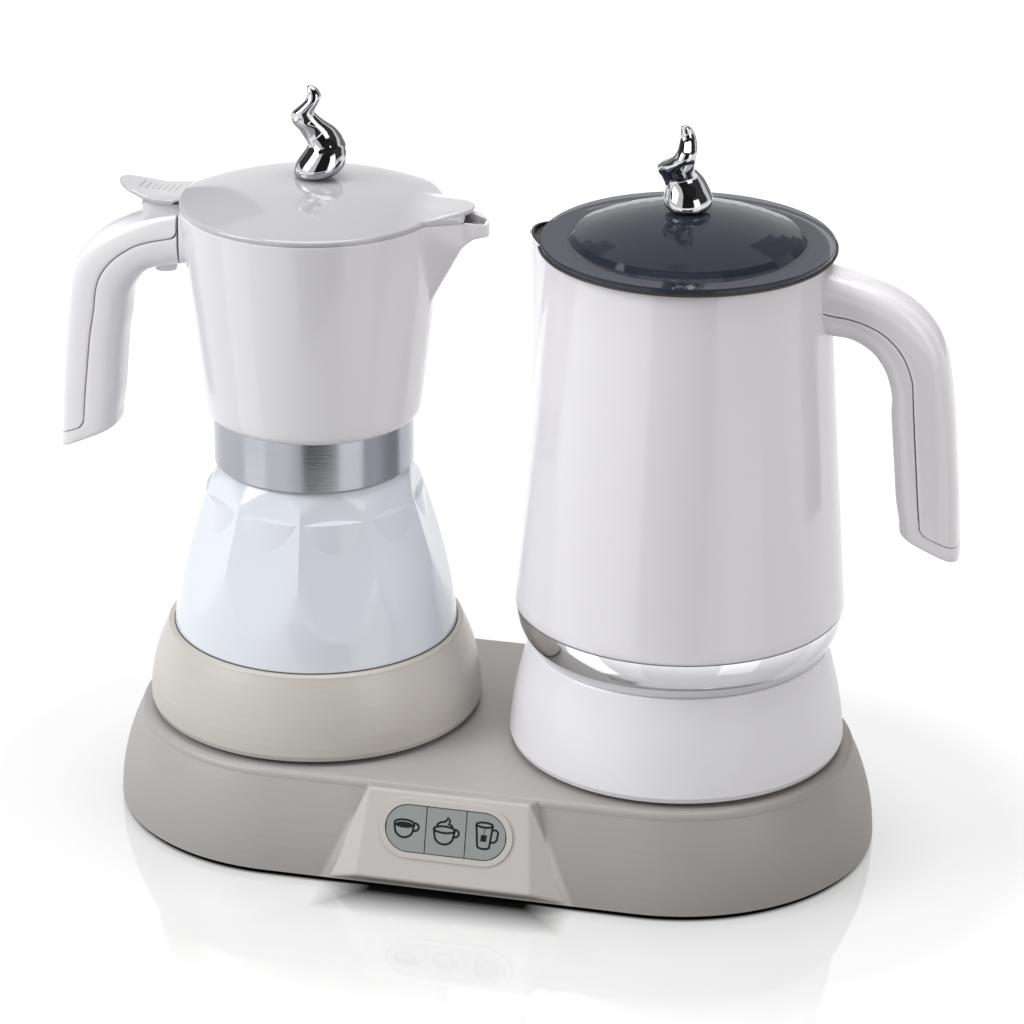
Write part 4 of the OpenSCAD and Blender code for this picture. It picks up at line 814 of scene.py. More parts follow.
@dataclass
class TwistedKnob:
    """A lid's knob: a bulb that draws in, leans over and flicks up to a tip."""

    name: str
    node: str
    body: str
    axis_x: float
    base_z: float
    turn: float
    tail: float
    height: float = 35.8
    bulb: float = 9.1
    waist: float = 0.5
    around: int = 48

    def stations(self) -> list[tuple[float, ...]]:
        """Height, two sideways shifts and two half widths, as shares of the knob's height and bulb."""
        return [(0, 0.04, 0, 0.55, 0.6), (0.02, 0.11, 0.02, 0.79, 0.81), (0.05, 0.21, 0.03, 0.92, 0.95),
                (0.112, 0.34, 0.02, 1.01, 1), (0.176, 0.44, 0.04, 0.99, 0.94), (0.24, 0.55, 0.1, 0.91, 0.87),
                (0.291, 0.61, 0.2, 0.82, 0.85), (0.335, 0.63, 0.32, 0.79, 0.83), (0.374, 0.54, 0.43, 0.79, 0.82),
                (0.419, 0.42, 0.52, 0.81, 0.79), (0.464, 0.29, 0.53, 0.8, 0.76), (0.514, 0.14, 0.44, 0.79, 0.68),
                (0.567, -0.04, 0.3, 0.74, 0.57), (0.623, -0.2, 0.21, 0.64, 0.47), (0.701, -0.29, 0.12, 0.47, 0.41),
                (0.76, -0.15, 0.09, 0.38, 0.37), (0.838, 0.08, 0.08, 0.31, 0.32), (0.9, 0.14, 0.13, 0.29, 0.28),
                (0.955, 0.08, 0.18, 0.24, 0.23), (0.989, 0.01, 0.21, 0.15, 0.14), (1, -0.01, 0.22, 0.05, 0.05)]

    def build(self) -> None:
        """Skins the knob's sections with a smooth surface."""
        piece = Piece(self.name, Look.CHROME, self.body)
        side, rise = math.cos(math.radians(self.turn)), math.sin(math.radians(self.turn))
        rings = []
        for high, shift_u, shift_v, half_u, half_v in spline(self.stations(), 5):
            high = min(high, self.waist) + max(high - self.waist, 0.0) * self.tail
            ring = []
            for k in range(self.around):
                a = 2 * math.pi * k / self.around
                u = self.bulb * (shift_u + half_u * math.cos(a))
                v = self.bulb * (shift_v + half_v * math.sin(a))
                ring.append((self.axis_x + (u * side - v * rise) * MM, (u * rise + v * side) * MM,
                             (self.base_z + self.height * high) * MM))
            rings.append(ring)
        piece.loft(rings)
        piece.build((self.node,), levels=1, sharp=80)


@dataclass
class SplitHandle:
    """A handle swept along an arm, a bend and a grip, split by a seam into an inner core and an outer cover."""

    prefix: str
    body: str
    look: Look
    seam_look: Look
    axis_x: float
    facing: int
    arm_z: float
    grip_r: float
    drop: float
    lean: float
    grip_t: float
    end_cut: float
    bend: Sequence[tuple[float, ...]]
    shifts: Sequence[float]
    wall: Callable[[float], float]
    neck: float = 0.0
    boss_z: float = 0.0
    boss_out: float = 58.0
    width: float = 21.0
    gap: float = 0.4
    bow: float = 3.2
    corner: float = 2.4
    grip_top: float = 22.0
    grip_from: float = 40.0
    grip_to: float = 20.0
    end_up: float = 6.0
    step: float = 1.6
    line_half: float = 0.19
    rows: list[list[float]] = field(default_factory=list)
    runs: list[float] = field(default_factory=list)

    def lay(self) -> None:
        """Lays the sweep: x, z, outward x, outward z, thickness and the seam's shift along its middle line."""
        rows = []
        for out_x, out_z, in_x, in_z, shift in self.bend:
            thick = math.hypot(out_x - in_x, out_z - in_z)
            rows.append([(out_x + in_x) / 2, self.arm_z + (out_z + in_z) / 2,
                         (out_x - in_x) / thick, (out_z - in_z) / thick, thick, shift])
        lean, cut = math.radians(self.lean), math.radians(self.end_cut)
        for i in range(3):
            z = -self.grip_from - (self.drop - self.grip_from - self.grip_to) * i / 2
            rows.append([self.grip_r - (z + self.grip_top) * math.tan(lean), self.arm_z + z,
                         math.cos(lean), math.sin(lean), self.grip_t, self.shifts[i]])
        self.rows = spline(rows, 5)
        for up in (self.end_up, 0.0):
            self.rows.append([self.grip_r + (self.drop - self.grip_top) * math.tan(lean) - up * math.sin(lean),
                              self.arm_z - self.drop + up * math.cos(lean), math.cos(cut), -math.sin(cut),
                              self.grip_t / math.cos(cut - lean / 2), self.shifts[3]])
        self.runs = [0.0]
        for before, after in zip(self.rows, self.rows[1:]):
            self.runs.append(self.runs[-1] + math.hypot(after[0] - before[0], after[1] - before[1]))

    def at(self, run: float) -> list[float]:
        """The sweep's row at a distance along its middle line."""
        for i in range(len(self.runs) - 1):
            if run <= self.runs[i + 1]:
                t = max(run - self.runs[i], 0.0) / (self.runs[i + 1] - self.runs[i])
                return [a + (b - a) * t for a, b in zip(self.rows[i], self.rows[i + 1])]
        return list(self.rows[-1])

    def outline(self, thick: float, seam: float, side: int, inset: float) -> list[tuple[float, float]]:
        """Outline of a section or of one half of it, with small rounds at the seam.

        Args:
            thick: the section's thickness.
            seam: the seam's shift from the section's middle.
            side: 1 for the cover, -1 for the core, 0 for the whole section.
            inset: how far the outline is drawn in, for a rounded end.

        Returns:
            Pairs of outward and sideways distances.
        """
        half_t, half_w = thick / 2 - inset, self.width / 2 - inset

        def rim(angle: float) -> tuple[float, float]:
            """A point of the whole outline at an angle."""
            return (half_t * math.copysign(abs(math.cos(angle)) ** (2 / self.bow), math.cos(angle)),
                    half_w * math.copysign(abs(math.sin(angle)) ** (2 / self.bow), math.sin(angle)))

        whole, half, edge, soft = 60, 55, 0.5, 0.3
        if not side:
            return [rim(2 * math.pi * k / whole) for k in range(whole)]
        cut = max(min(seam + side * self.gap / 2, half_t - soft), soft - half_t)
        start = math.acos(math.copysign((abs(cut) / half_t) ** (self.bow / 2), cut))
        low, high = (-start, start) if side > 0 else (start, 2 * math.pi - start)
        out = [rim(low + (high - low) * k / half) for k in range(half + 1)]
        first, last = out[0], out[-1]
        shift = edge * side
        slope = edge * (1 if last[1] > first[1] else -1)
        out[0] = (first[0] + shift, first[1])
        out[-1] = (last[0] + shift, last[1])
        return out + [(last[0] + shift * soft, last[1] - slope * soft), (last[0], last[1] - slope),
                      (first[0], first[1] + slope), (first[0] + shift * soft, first[1] + slope * soft)]

    def add(self, piece: Piece, side: int, stops: Sequence[tuple[float, float, float]],
            least: float = 0.0, most: float = 200.0) -> None:
        """Skins part of the sweep.

        Args:
            piece: the piece that it goes into.
            side: 1 for the cover, -1 for the core, 0 for the whole section.
            stops: distances along the sweep, each with a push of the seam and an inset of the outline.
            least: radius round the jug's axis that it keeps outside of, or 0 for the wall.
            most: radius that it keeps inside of.
        """
        rings = []
        for run, push, inset in stops:
            x, z, out_x, out_z, thick, seam = self.at(run)
            ring = []
            for depth, across in self.outline(thick, seam + push, side, inset):
                px, pz = x + depth * out_x, z + depth * out_z
                near = math.sqrt(max((least or self.wall(pz) - 0.2) ** 2 - across * across, 0.0))
                far = math.sqrt(most ** 2 - across * across)
                ring.append((self.axis_x + self.facing * min(max(px, near), far) * MM, across * MM, pz * MM))
            rings.append(ring)
        piece.loft(rings)

    def turn_off(self, run: float, way: int) -> list[tuple[float, float, float]]:
        """Stops over which the seam turns in a small arc to run across the handle.

        Args:
            run: where it ends up across.
            way: 1 where the handle goes on after it, -1 where it comes before.

        Returns:
            The stops in the order of the sweep.
        """
        stops = []
        for u in (0.0, 0.12, 0.35, 0.7, 1.2, 1.8, 2.4):
            share = self.corner - math.sqrt(self.corner ** 2 - (self.corner - u) ** 2)
            stops.append((run + way * u, share, 0.0))
        return stops if way > 0 else stops[::-1]

    def build(self) -> None:
        """Builds the core, the cover and a dark strip between them that is painted shade for the seam's gap."""
        self.lay()
        core = Piece(self.prefix + "_core_form", self.look, self.body)
        cover = Piece(self.prefix + "_cover_form", self.look, self.body)
        line = Piece(self.prefix + "_seam_line", self.seam_look, self.body)
        cap, end = self.runs[-2], self.runs[-1]
        first, start = 0.0, [(i * 0.8, 0.0, 0.0) for i in range(4)]
        if self.neck:
            first = next((r for r, row in zip(self.runs, self.rows) if row[0] >= self.neck - 0.9), 0.0)
            start = self.turn_off(first, 1)
        count = int((cap - first - 6.0) / self.step)
        middle = [(first + 2.8 + i * self.step, 0.0, 0.0) for i in range(count)]
        self.add(core, -1, start + middle + self.turn_off(cap, -1), self.neck and self.neck - 0.1)
        begin = self.turn_off(first + self.gap, 1) if self.neck else start
        self.add(cover, 1, begin + middle + self.turn_off(cap - self.gap, -1), self.neck and self.neck + self.gap)
        if self.neck:
            self.add(core, 0, [(first * i / 4, 0.0, 0.0) for i in range(5)], 0.0, self.neck)
        rounded = [(cap, 0.0), (cap + 1.5, 0.0), (cap + 3.0, 0.0), (end - 1.2, 0.0),
                   (end - 0.6, 0.18), (end - 0.2, 0.55), (end, 1.2)]
        self.add(core, 0, [(run, 0.0, inset) for run, inset in rounded])
        if self.boss_z:
            self.boss(core)
        core.build((self.prefix + "_handle_core",), sharp=40)
        cover.build((self.prefix + "_handle_cover",), sharp=40)
        line.loft([self.line_at(first + 0.2, start[0][1])] + [self.line_at(run, 0.0) for run, _, _ in middle])
        line.build()

    def boss(self, core: Piece) -> None:
        """Adds the boss under the arm that takes the handle's screw."""
        out = self.axis_x + self.facing * self.boss_out * MM
        core.loft([circle((out, 0, (self.boss_z + up) * MM), r * MM, 32) for up, r in (
            (7.0, 6.0), (3.4, 5.4), (2.2, 4.7), (0.8, 4.4), (0.2, 4.1), (0, 3.6), (0, 3.3), (0.5, 3.3))])

    def line_at(self, run: float, push: float) -> list[Point]:
        """The seam line's section at a distance along the sweep, with the seam's push there."""
        x, z, out_x, out_z, thick, seam = self.at(run)
        half = self.width / 2 * (1 - min(abs(seam) * 2 / thick, 1) ** self.bow) ** (1 / self.bow) - 0.45
        least, d = self.wall(z) - 0.2, self.line_half
        return [(self.axis_x + self.facing * max(x + (seam + push + depth) * out_x, least) * MM, side * half * MM,
                 (z + (seam + push + depth) * out_z) * MM) for depth, side in ((-d, -1), (d, -1), (d, 1), (-d, 1))]


@dataclass
class PoweredBase:
    """The powered base: shell with its key panel, underside, feet, sockets and inner parts."""

    panel_out: float = 74.0
    top_z: float = 41.0
    tilt: float = 17.0
    key_mid: float = 13.7
    key_pitch: float = 15.5
    key_top: float = 0.5
    pen: float = 0.8
    drawn: float = 1.1
    ink_up: float = 0.05
    blot_up: float = 0.035
    key: int = 0
    inks: int = 0

    def on_panel(self, x: float, y: float, lift: float) -> Point:
        """A point of the panel's own frame in the row's frame.

        Args:
            x: along the keys, in millimetres.
            y: up the slope from the keys' middle line.
            lift: out of the face.

        Returns:
            The point in metres.
        """
        a = math.radians(90 - self.tilt)
        up = y - self.key_mid
        return (x * MM, (-self.panel_out + up * math.cos(a) - lift * math.sin(a)) * MM,
                (self.top_z + up * math.sin(a) + lift * math.cos(a)) * MM)

    def ink(self) -> Piece:
        """Starts the next piece of the pictograms, on the key that they are drawn on."""
        self.inks += 1
        return Piece(f"pictogram_{self.inks:02d}", Look.INK, ("left_key", "middle_key", "right_key")[self.key + 1])

    def on_key(self, x: float, y: float, side: Pair, lift: float) -> Point:
        """A point of a pictogram, from the key's middle, with a step aside and a height over the key's face."""
        return self.on_panel(self.key * self.key_pitch + self.drawn * x + side[0], self.drawn * y + side[1],
                             self.key_top + lift)

    def ribbon(self, line: Sequence[Pair], width: float | None = None, closed: bool = False) -> None:
        """Lays an inked line on the key as a thin flat strip.

        Args:
            line: its points, from the key's middle, in millimetres.
            width: the line's width, or the pen's.
            closed: whether it returns to its start.
        """
        piece = self.ink()
        half, count, up = (width or self.pen) / 2, len(line), self.ink_up
        rings = []
        for i, (x, y) in enumerate(line):
            before = line[i - 1] if (closed or i) else line[i]
            after = line[(i + 1) % count] if (closed or i + 1 < count) else line[i]
            dx, dy = after[0] - before[0], after[1] - before[1]
            share = half / (math.hypot(dx, dy) or 1.0)
            rings.append(piece.ring([self.on_key(x, y, (-side * dy * share, side * dx * share), lift)
                                     for side, lift in ((-1, -up), (-1, up), (1, up), (1, -up))]))
        for first, second in zip(rings, rings[1:] + (rings[:1] if closed else [])):
            piece.bridge(first, second)
        if not closed:
            piece.faces.append(tuple(rings[0]))
            piece.faces.append(tuple(reversed(rings[-1])))
        piece.build()

    def blot(self, outline: Sequence[Pair]) -> None:
        """Lays a filled shape on the key."""
        piece = self.ink()
        low, high = (piece.ring([self.on_key(x, y, (0.0, 0.0), lift) for x, y in outline])
                     for lift in (-self.ink_up, self.blot_up))
        piece.bridge(low, high)
        piece.faces.append(tuple(high))
        piece.faces.append(tuple(reversed(low)))
        piece.build()

    def pictograms(self) -> None:
        """Draws a coffee cup, a cup with cream and a tall mug with a tea bag."""
        # Coffee cup
        self.key = -1
        self.ribbon(oval(-0.6, 1.6, 3.5, 1.25, 0, 342), closed=True)
        self.blot(oval(-0.6, 1.35, 2.9, 0.75, 0, 342))
        self.ribbon([(-4.1, 1.6)] + oval(-0.6, -0.3, 3.2, 3.0, 195, 345) + [(2.9, 1.6)])
        self.ribbon(oval(3.1, 0.6, 1.5, 1.35, 95, -120, 12))
        # Cup with cream
        self.key = 0
        self.ribbon(oval(-0.5, 0.9, 3.7, 1.15, 0, 342), closed=True)
        self.ribbon([(-4.2, 0.9)] + oval(-0.5, -1.3, 3.3, 2.9, 190, 350) + [(3.2, 0.9)])
        self.ribbon(oval(3.3, 0.0, 1.4, 1.3, 95, -125, 12))
        self.ribbon([(-3.2, 1.6), (-2.9, 2.7), (-1.9, 3.4), (-0.6, 3.6), (0.2, 4.3), (0.5, 5.2), (1.2, 4.4), (1.3, 3.4),
                     (0.8, 2.9), (1.9, 2.7), (2.4, 1.8)])
        # Tall mug with a tea bag
        self.key = 1
        self.ribbon(oval(-0.6, 4.1, 2.9, 0.85, 0, 342), closed=True)
        self.ribbon([(-3.5, 4.1), (-2.7, -3.4)] + oval(-0.6, -3.4, 2.1, 0.8, 185, 355, 10) + [(1.5, -3.4), (2.3, 4.1)])
        self.ribbon([(2.25, 2.6), (3.6, 2.7), (4.3, 1.9), (4.0, -0.6), (3.1, -1.6), (1.9, -1.7)])
        self.ribbon([(-0.4, 3.3), (-0.7, 0.5)], 0.25)
        self.blot([(-1.8, -1.7), (0.3, -1.7), (0.5, 0.6), (-1.6, 0.6)])

    def domes(self) -> None:
        """Moulds the keys' silicone return domes."""
        profile = [(3.55, -13.84), (4.25, -13.84), (4.2, -13.5), (3.4, -11.8), (2.7, -10.2), (2.25, -9.2), (2.1, -9.09),
                   (1.6, -9.09), (1.55, -9.25), (2.0, -10.2), (2.7, -11.8), (3.5, -13.5)]
        for key, side in ((-1, "left"), (0, "middle"), (1, "right")):
            piece = Piece(f"return_dome_form_{side}", Look.DOME, "station")
            rings = [piece.ring([self.on_panel(key * self.key_pitch + r * math.cos(b), r * math.sin(b), lift)
                                 for b in (2 * math.pi * k / 48 for k in range(48))]) for r, lift in profile]
            for first, second in zip(rings, rings[1:] + rings[:1]):
                piece.bridge(first, second)
            made = piece.build((f"return_dome_{side}",), sharp=60)
            self.on_panel(key * self.key_pitch, 0.0, -13.84)
            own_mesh(made)

    def build(self) -> None:
        """Dresses the base's solids and adds the pictograms."""
        dress(Look.STATION, "station_top_shell")
        dress(Look.UNDERSIDE, "station_bottom_plate", "moka_power_socket", "frother_power_socket")
        dress(Look.FOOT, "station_feet", "cord_gland")
        dress(Look.STEEL, "station_screws")
        dress(Look.BOARD, "control_board", "key_board")
        dress(Look.SWITCH, "tact_switches")
        dress(Look.GUIDE, "key_guide")
        self.domes()
        dress(Look.CONTACT, "socket_contacts")
        dress(Look.KEY, "button_left", "button_middle", "button_right")
        self.pictograms()


@dataclass
class FacettedBoiler:
    """The moka pot's cast boiler on its base ring, with what sits under and in it."""

    axis_x: float = -SEAT_X
    foot_z: float = 75.5
    height: float = 67.0
    shoulder: float = 8.5
    radius: float = 55.2
    top_in: float = 18.9
    lean: float = 6.7
    curve: float = 10.0
    facets: int = 10
    per_facet: int = 14
    first: float = -82.0
    facet_low: float = 12.5
    foot_round: float = 4.0
    fall: float = 0.308
    soft: float = 0.25

    def barrel(self, z: float) -> float:
        """Radius of the turned barrel at a height, which draws in on a cone above the shoulder."""
        t = (z - self.foot_z) / self.height
        cone = self.shoulder / self.height
        if t > 1 - cone:
            low = self.barrel(self.foot_z + self.height - self.shoulder)
            return low + (self.radius - self.top_in - low) * (t - (1 - cone)) / cone
        return self.radius - self.lean * t - self.curve * t * t

    def plane(self, z: float) -> float:
        """Distance of a facet's plane from the axis at a height."""
        t = self.facet_low / self.height
        low = self.radius - self.lean * t - self.curve * t ** 2
        return low - self.fall * (z - self.foot_z - self.facet_low)

    def level(self, z: float) -> list[Point]:
        """The barrel's outline at a height, cut by the facets."""
        ring = []
        for k in range(self.facets * self.per_facet):
            a = math.radians(self.first + 360.0 * k / (self.facets * self.per_facet))
            off = math.radians((360.0 * (k % self.per_facet) / self.per_facet - 180.0) / self.facets)
            r = self.barrel(max(z, self.foot_z))
            if z > self.foot_z + self.foot_round:
                gap = self.plane(z) / math.cos(off) - r
                r += 0.5 * (gap - math.hypot(gap, self.soft))
            ring.append((self.axis_x + r * MM * math.cos(a), r * MM * math.sin(a), z * MM))
        return ring

    def form(self) -> None:
        """Skins the barrel from its skirt, over the facets and the neck, and down its inside."""
        piece = Piece("boiler_form", Look.BOILER, "boiler_unit")
        foot, side, shoulder = self.foot_z, self.height - self.shoulder, self.foot_z + self.height - self.shoulder
        levels = [foot - 1.5, foot - 0.5] + [foot + 1 + (side - 1) * i / 66 for i in range(67)]
        levels += [shoulder + self.shoulder * i / 8 for i in range(1, 9)]
        made = [piece.ring(self.level(z)) for z in levels]
        neck = self.rings(piece, (
            (33.2, 142.6), (32.5, 143.2), (32.5, 151.6), (32.1, 152.0), (27.6, 152.0), (27.2, 151.6),
            (27.2, 139.5), (42.0, 131.0), (49.0, 88.0), (50.6, 76.0), (50.6, 59.6), (0.05, 59.5)))
        shell = made + neck
        for first, second in zip(shell, shell[1:]):
            piece.bridge(first, second)
        skirt = self.rings(piece, ((53.7, 74.0), (53.7, 57.0), (53.2, 56.5), (0.05, 56.5)))
        piece.bridge(skirt[0], made[0])
        for first, second in zip(skirt, skirt[1:]):
            piece.bridge(second, first)
        piece.build(("boiler",), sharp=13)

    def rings(self, piece: Piece, profile: Sequence[Pair]) -> list[list[int]]:
        """Adds round rings of a profile of radius and height to a piece."""
        count = self.facets * self.per_facet
        return [piece.ring(circle((self.axis_x, 0, z * MM), r * MM, count, self.first)) for r, z in profile]

    def build(self) -> None:
        """Builds the barrel and a thin seal ring at its foot, dark as painted shade for the gap between barrel and base
        ring, then dresses the rest.
        """
        self.form()
        # Painted shade: this thin seal ring in the seam-shadow finish darkens the gap between the barrel and its base
        # ring.
        seal = [(54.6, 75.2), (55.35, 75.2), (55.5, 75.35), (55.5, 75.8), (55.35, 75.95), (54.6, 75.95)]
        turned(Piece("boiler_foot_seal", Look.SEAM, "boiler_unit"), self.axis_x, seal + seal[:1], 140).build(sharp=60)
        dress(Look.BOILER_RING, "boiler_base_ring")
        dress(Look.UNDERSIDE, "boiler_base_cover", "boiler_power_plug")
        dress(Look.ELEMENT, "boiler_heating_element")
        dress(Look.GUIDE, "boiler_thermostat")
        dress(Look.VALVE, "safety_valve")
        dress(Look.STEEL, "boiler_base_screws")
        dress(Look.FUNNEL, "coffee_funnel")


@dataclass
class Collector:
    """The moka pot's collector: jug with its beak and hinge housing, collar, filter, column and handle."""

    axis_x: float = -SEAT_X
    floor_z: float = 163.0
    rim_z: float = 245.5
    floor_r: float = 41.2
    flare: float = 10.2
    curve: float = 1.4
    mouth: float = 61.7
    beak_low: float = 203.0
    hollow_low: float = 225.0
    beak_side: float = 40.0
    thick: float = 2.2
    least_wall: float = 0.9

    def wall(self, z: float) -> float:
        """The jug's outer radius at a height, in millimetres."""
        t = (z - self.floor_z) / (self.rim_z - self.floor_z)
        return self.floor_r + self.flare * t - self.curve * t * t

    def beak(self) -> list[Block]:
        """The wedge that grows out of the wall, the mouth and the pointed lip."""
        rim, mouth = self.rim_z, self.mouth
        return [Block(slab(self.wall(rim - 36) - 1.6, 2, rim - 36, rim - 35) + slab(47.4, 14.9, rim - 4, rim + 7)
                      + slab(mouth - 2.4, 8.2, rim - 10, rim + 7), 0.8),
                Block(slab(mouth - 2.6, 8.2, rim - 10, rim + 7) + slab(mouth + 1.9, 6.5, rim - 6.4, rim + 7), 0.8),
                Block(slab(mouth + 1.8, 6.4, rim - 6.5, rim + 7) + slab(mouth + 4.2, 5.1, rim - 6.7, rim + 7)
                      + slab(68.2, 1.8, rim - 7.4, rim - 6) + slab(67.2, 2.7, rim - 1.6, rim - 1.5)
                      + slab(66.9, 2.9, rim + 6, rim + 7), 0.7)]

    def hollow(self) -> list[Block]:
        """The way from the jug's inside through the beak."""
        rim, mouth = self.rim_z, self.mouth
        return [Block(slab(40, 17.8, rim - 5, rim + 7) + slab(41, 12.8, rim - 16, rim + 7)
                      + slab(mouth - 3, 6.4, rim - 5.6, rim + 7), 0.6),
                Block(slab(mouth - 4, 6.4, rim - 5.6, rim + 7) + slab(66.0, 3.4, rim - 3.4, rim + 7), 0.8)]

    def lip_z(self, x: float) -> float:
        """Height of the rim at a distance along the beak."""
        table = ((62.5, 245.5), (64.4, 245.35), (66.5, 244.6), (67.6, 244.2), (68.3, 243.9))
        for (x0, z0), (x1, z1) in zip(table, table[1:]):
            if x < x1:
                return z0 + (z1 - z0) * max(x - x0, 0.0) / (x1 - x0)
        return table[-1][1]

    def forms(self) -> tuple[Form, Form]:
        """The jug's outer form with its beak, and its hollow."""
        blocks, ways = self.beak(), self.hollow()

        def outer(x: float, y: float, z: float) -> float:
            """How far a point lies outside the wall and the beak."""
            found = math.hypot(x, y) - self.wall(z)
            if z > self.beak_low:
                beak = blocks[0].outside(x, y, z)
                for block in blocks[1:]:
                    beak = soft_min(beak, block.outside(x, y, z), 0.6)
                found = soft_min(found, beak, 1.4)
            return found

        def inner(x: float, y: float, z: float) -> float:
            """How far a point lies outside the hollow."""
            found = math.hypot(x, y) - self.wall(z) + self.thick
            for block in ways if z > self.hollow_low else ():
                found = soft_min(found, block.outside(x, y, z), 0.5)
            return found

        return outer, inner

    def column(self, angle: float, outer: Form, inner: Form) -> list[Point]:
        """The jug's profile at an angle from the beak: up the outside, over the rim and down the inside.

        Args:
            angle: degrees round the axis.
            outer: the outer form.
            inner: the hollow.

        Returns:
            Its points in metres.
        """
        a = math.radians(angle)
        way = (math.cos(a), math.sin(a), 0.0)
        near = min(angle, 360 - angle) < self.beak_side
        farthest, blend, last = 73.0, 232, 12

        def edge(form: Form, z: float, most: float, offset: float) -> float:
            """Where the wall stands at a height: looked for near the beak, and known elsewhere."""
            return reach(form, (0.0, 0.0, z), way, most, 36.0) if near else self.wall(z) - offset

        top_z = self.lip_z(edge(outer, self.rim_z, farthest, 0.0) * way[0])
        column = [(38.5, 163.0), (40.0, 163.4), (41.0, 164.4), (41.45, 165.6)]
        column += [(edge(outer, z, farthest, 0.0), z)
                   for z in [166 + 3.5 * i for i in range(11)] + [206 + 2 * i for i in range(14)]]
        for i in range(1, last + 1):
            z = blend + (top_z - blend) * i / last
            column.append((edge(outer, min(z, self.rim_z), farthest, 0.0), z - (0.35 if i == last else 0)))
        out = column[-1][0]
        inside = min(edge(inner, top_z - 0.02, 72.5, self.thick), out - self.least_wall)
        soft = min(0.35, (out - inside) / 3)
        column += [(out - soft * 0.3, top_z - soft * 0.3), (out - soft, top_z),
                   (inside + soft, top_z), (inside, top_z - 0.35)]
        for i in range(1, 9):
            z = top_z + (226 - top_z) * i / 8
            column.append((min(edge(inner, z, 72.5, self.thick), out - self.least_wall), z))
        column += [(self.wall(z) - self.thick, z) for z in (215, 200, 185, 172)] + [(38.6, 168.0), (36.0, 166.0)]
        return [(self.axis_x + r * way[0] * MM, r * way[1] * MM, z * MM) for r, z in column]

    def jug(self) -> None:
        """Skins the jug inside and out, its beak blended into the wall, and adds the hinge's two cheeks."""
        piece = Piece("jug_form", Look.MOKA_WHITE, "collector")
        outer, inner = self.forms()
        skin(piece, [self.column(angle, outer, inner) for angle in sector(0.75, 4.0)])
        arch = [(62.4 + 2.2 * math.sin(b), 241.1 + 2.2 * math.cos(b)) for b in map(math.radians, range(15, 91, 15))]
        side = [(48.0, 243.3), (55.5, 243.3), (63.0, 243.3)] + arch + [
            (64.6, 238.4), (64.6, 236.0), (64.6, 234.6), (60.0, 235.6), (54.0, 237.4), (48.0, 239.0)]
        for low in (-8.1, 4.9):
            extruded(piece, side, low, low + 3.2, 0.5, self.axis_x)
        piece.build(("collector_jug",), sharp=38)

    def build(self) -> None:
        """Dresses the solids and builds the jug and the handle."""
        self.jug()
        dress(Look.MOKA_WHITE, "coffee_column")
        dress(Look.COLLAR, "threaded_collar")
        dress(Look.GASKET, "sealing_gasket")
        dress(Look.FUNNEL, "filter_plate")
        dress(Look.STEEL, "moka_handle_screws", "lid_hinge_pin")
        bend = ((43, 15.2, 43, -8.4, 0.6), (50.5, 14.1, 50.5, -9.2, 0.6), (56, 12.6, 56, -10.3, 0.7),
                (62, 10.8, 61.5, -11.8, 0.8), (70, 8.1, 65, -13.6, 0.8), (78.5, 4, 68, -17, 0.7),
                (85, -0.6, 70, -20, 0.6), (89.8, -5.8, 71.4, -23, 0.5), (93, -11, 72.2, -26.4, 0.3),
                (94.8, -17.5, 72.7, -30, 0.1), (95.9, -25, 73, -33.5, 0))
        SplitHandle("moka", "collector", Look.MOKA_WHITE, Look.SEAM_LIGHT, self.axis_x, facing=-1, arm_z=227.5,
                    grip_r=84.5, drop=83.2, lean=4.9, grip_t=23.4, end_cut=25.0, bend=bend,
                    shifts=(0.3, 0.6, 0.9, 1.0), wall=self.wall, neck=50.7, boss_z=214.3).build()


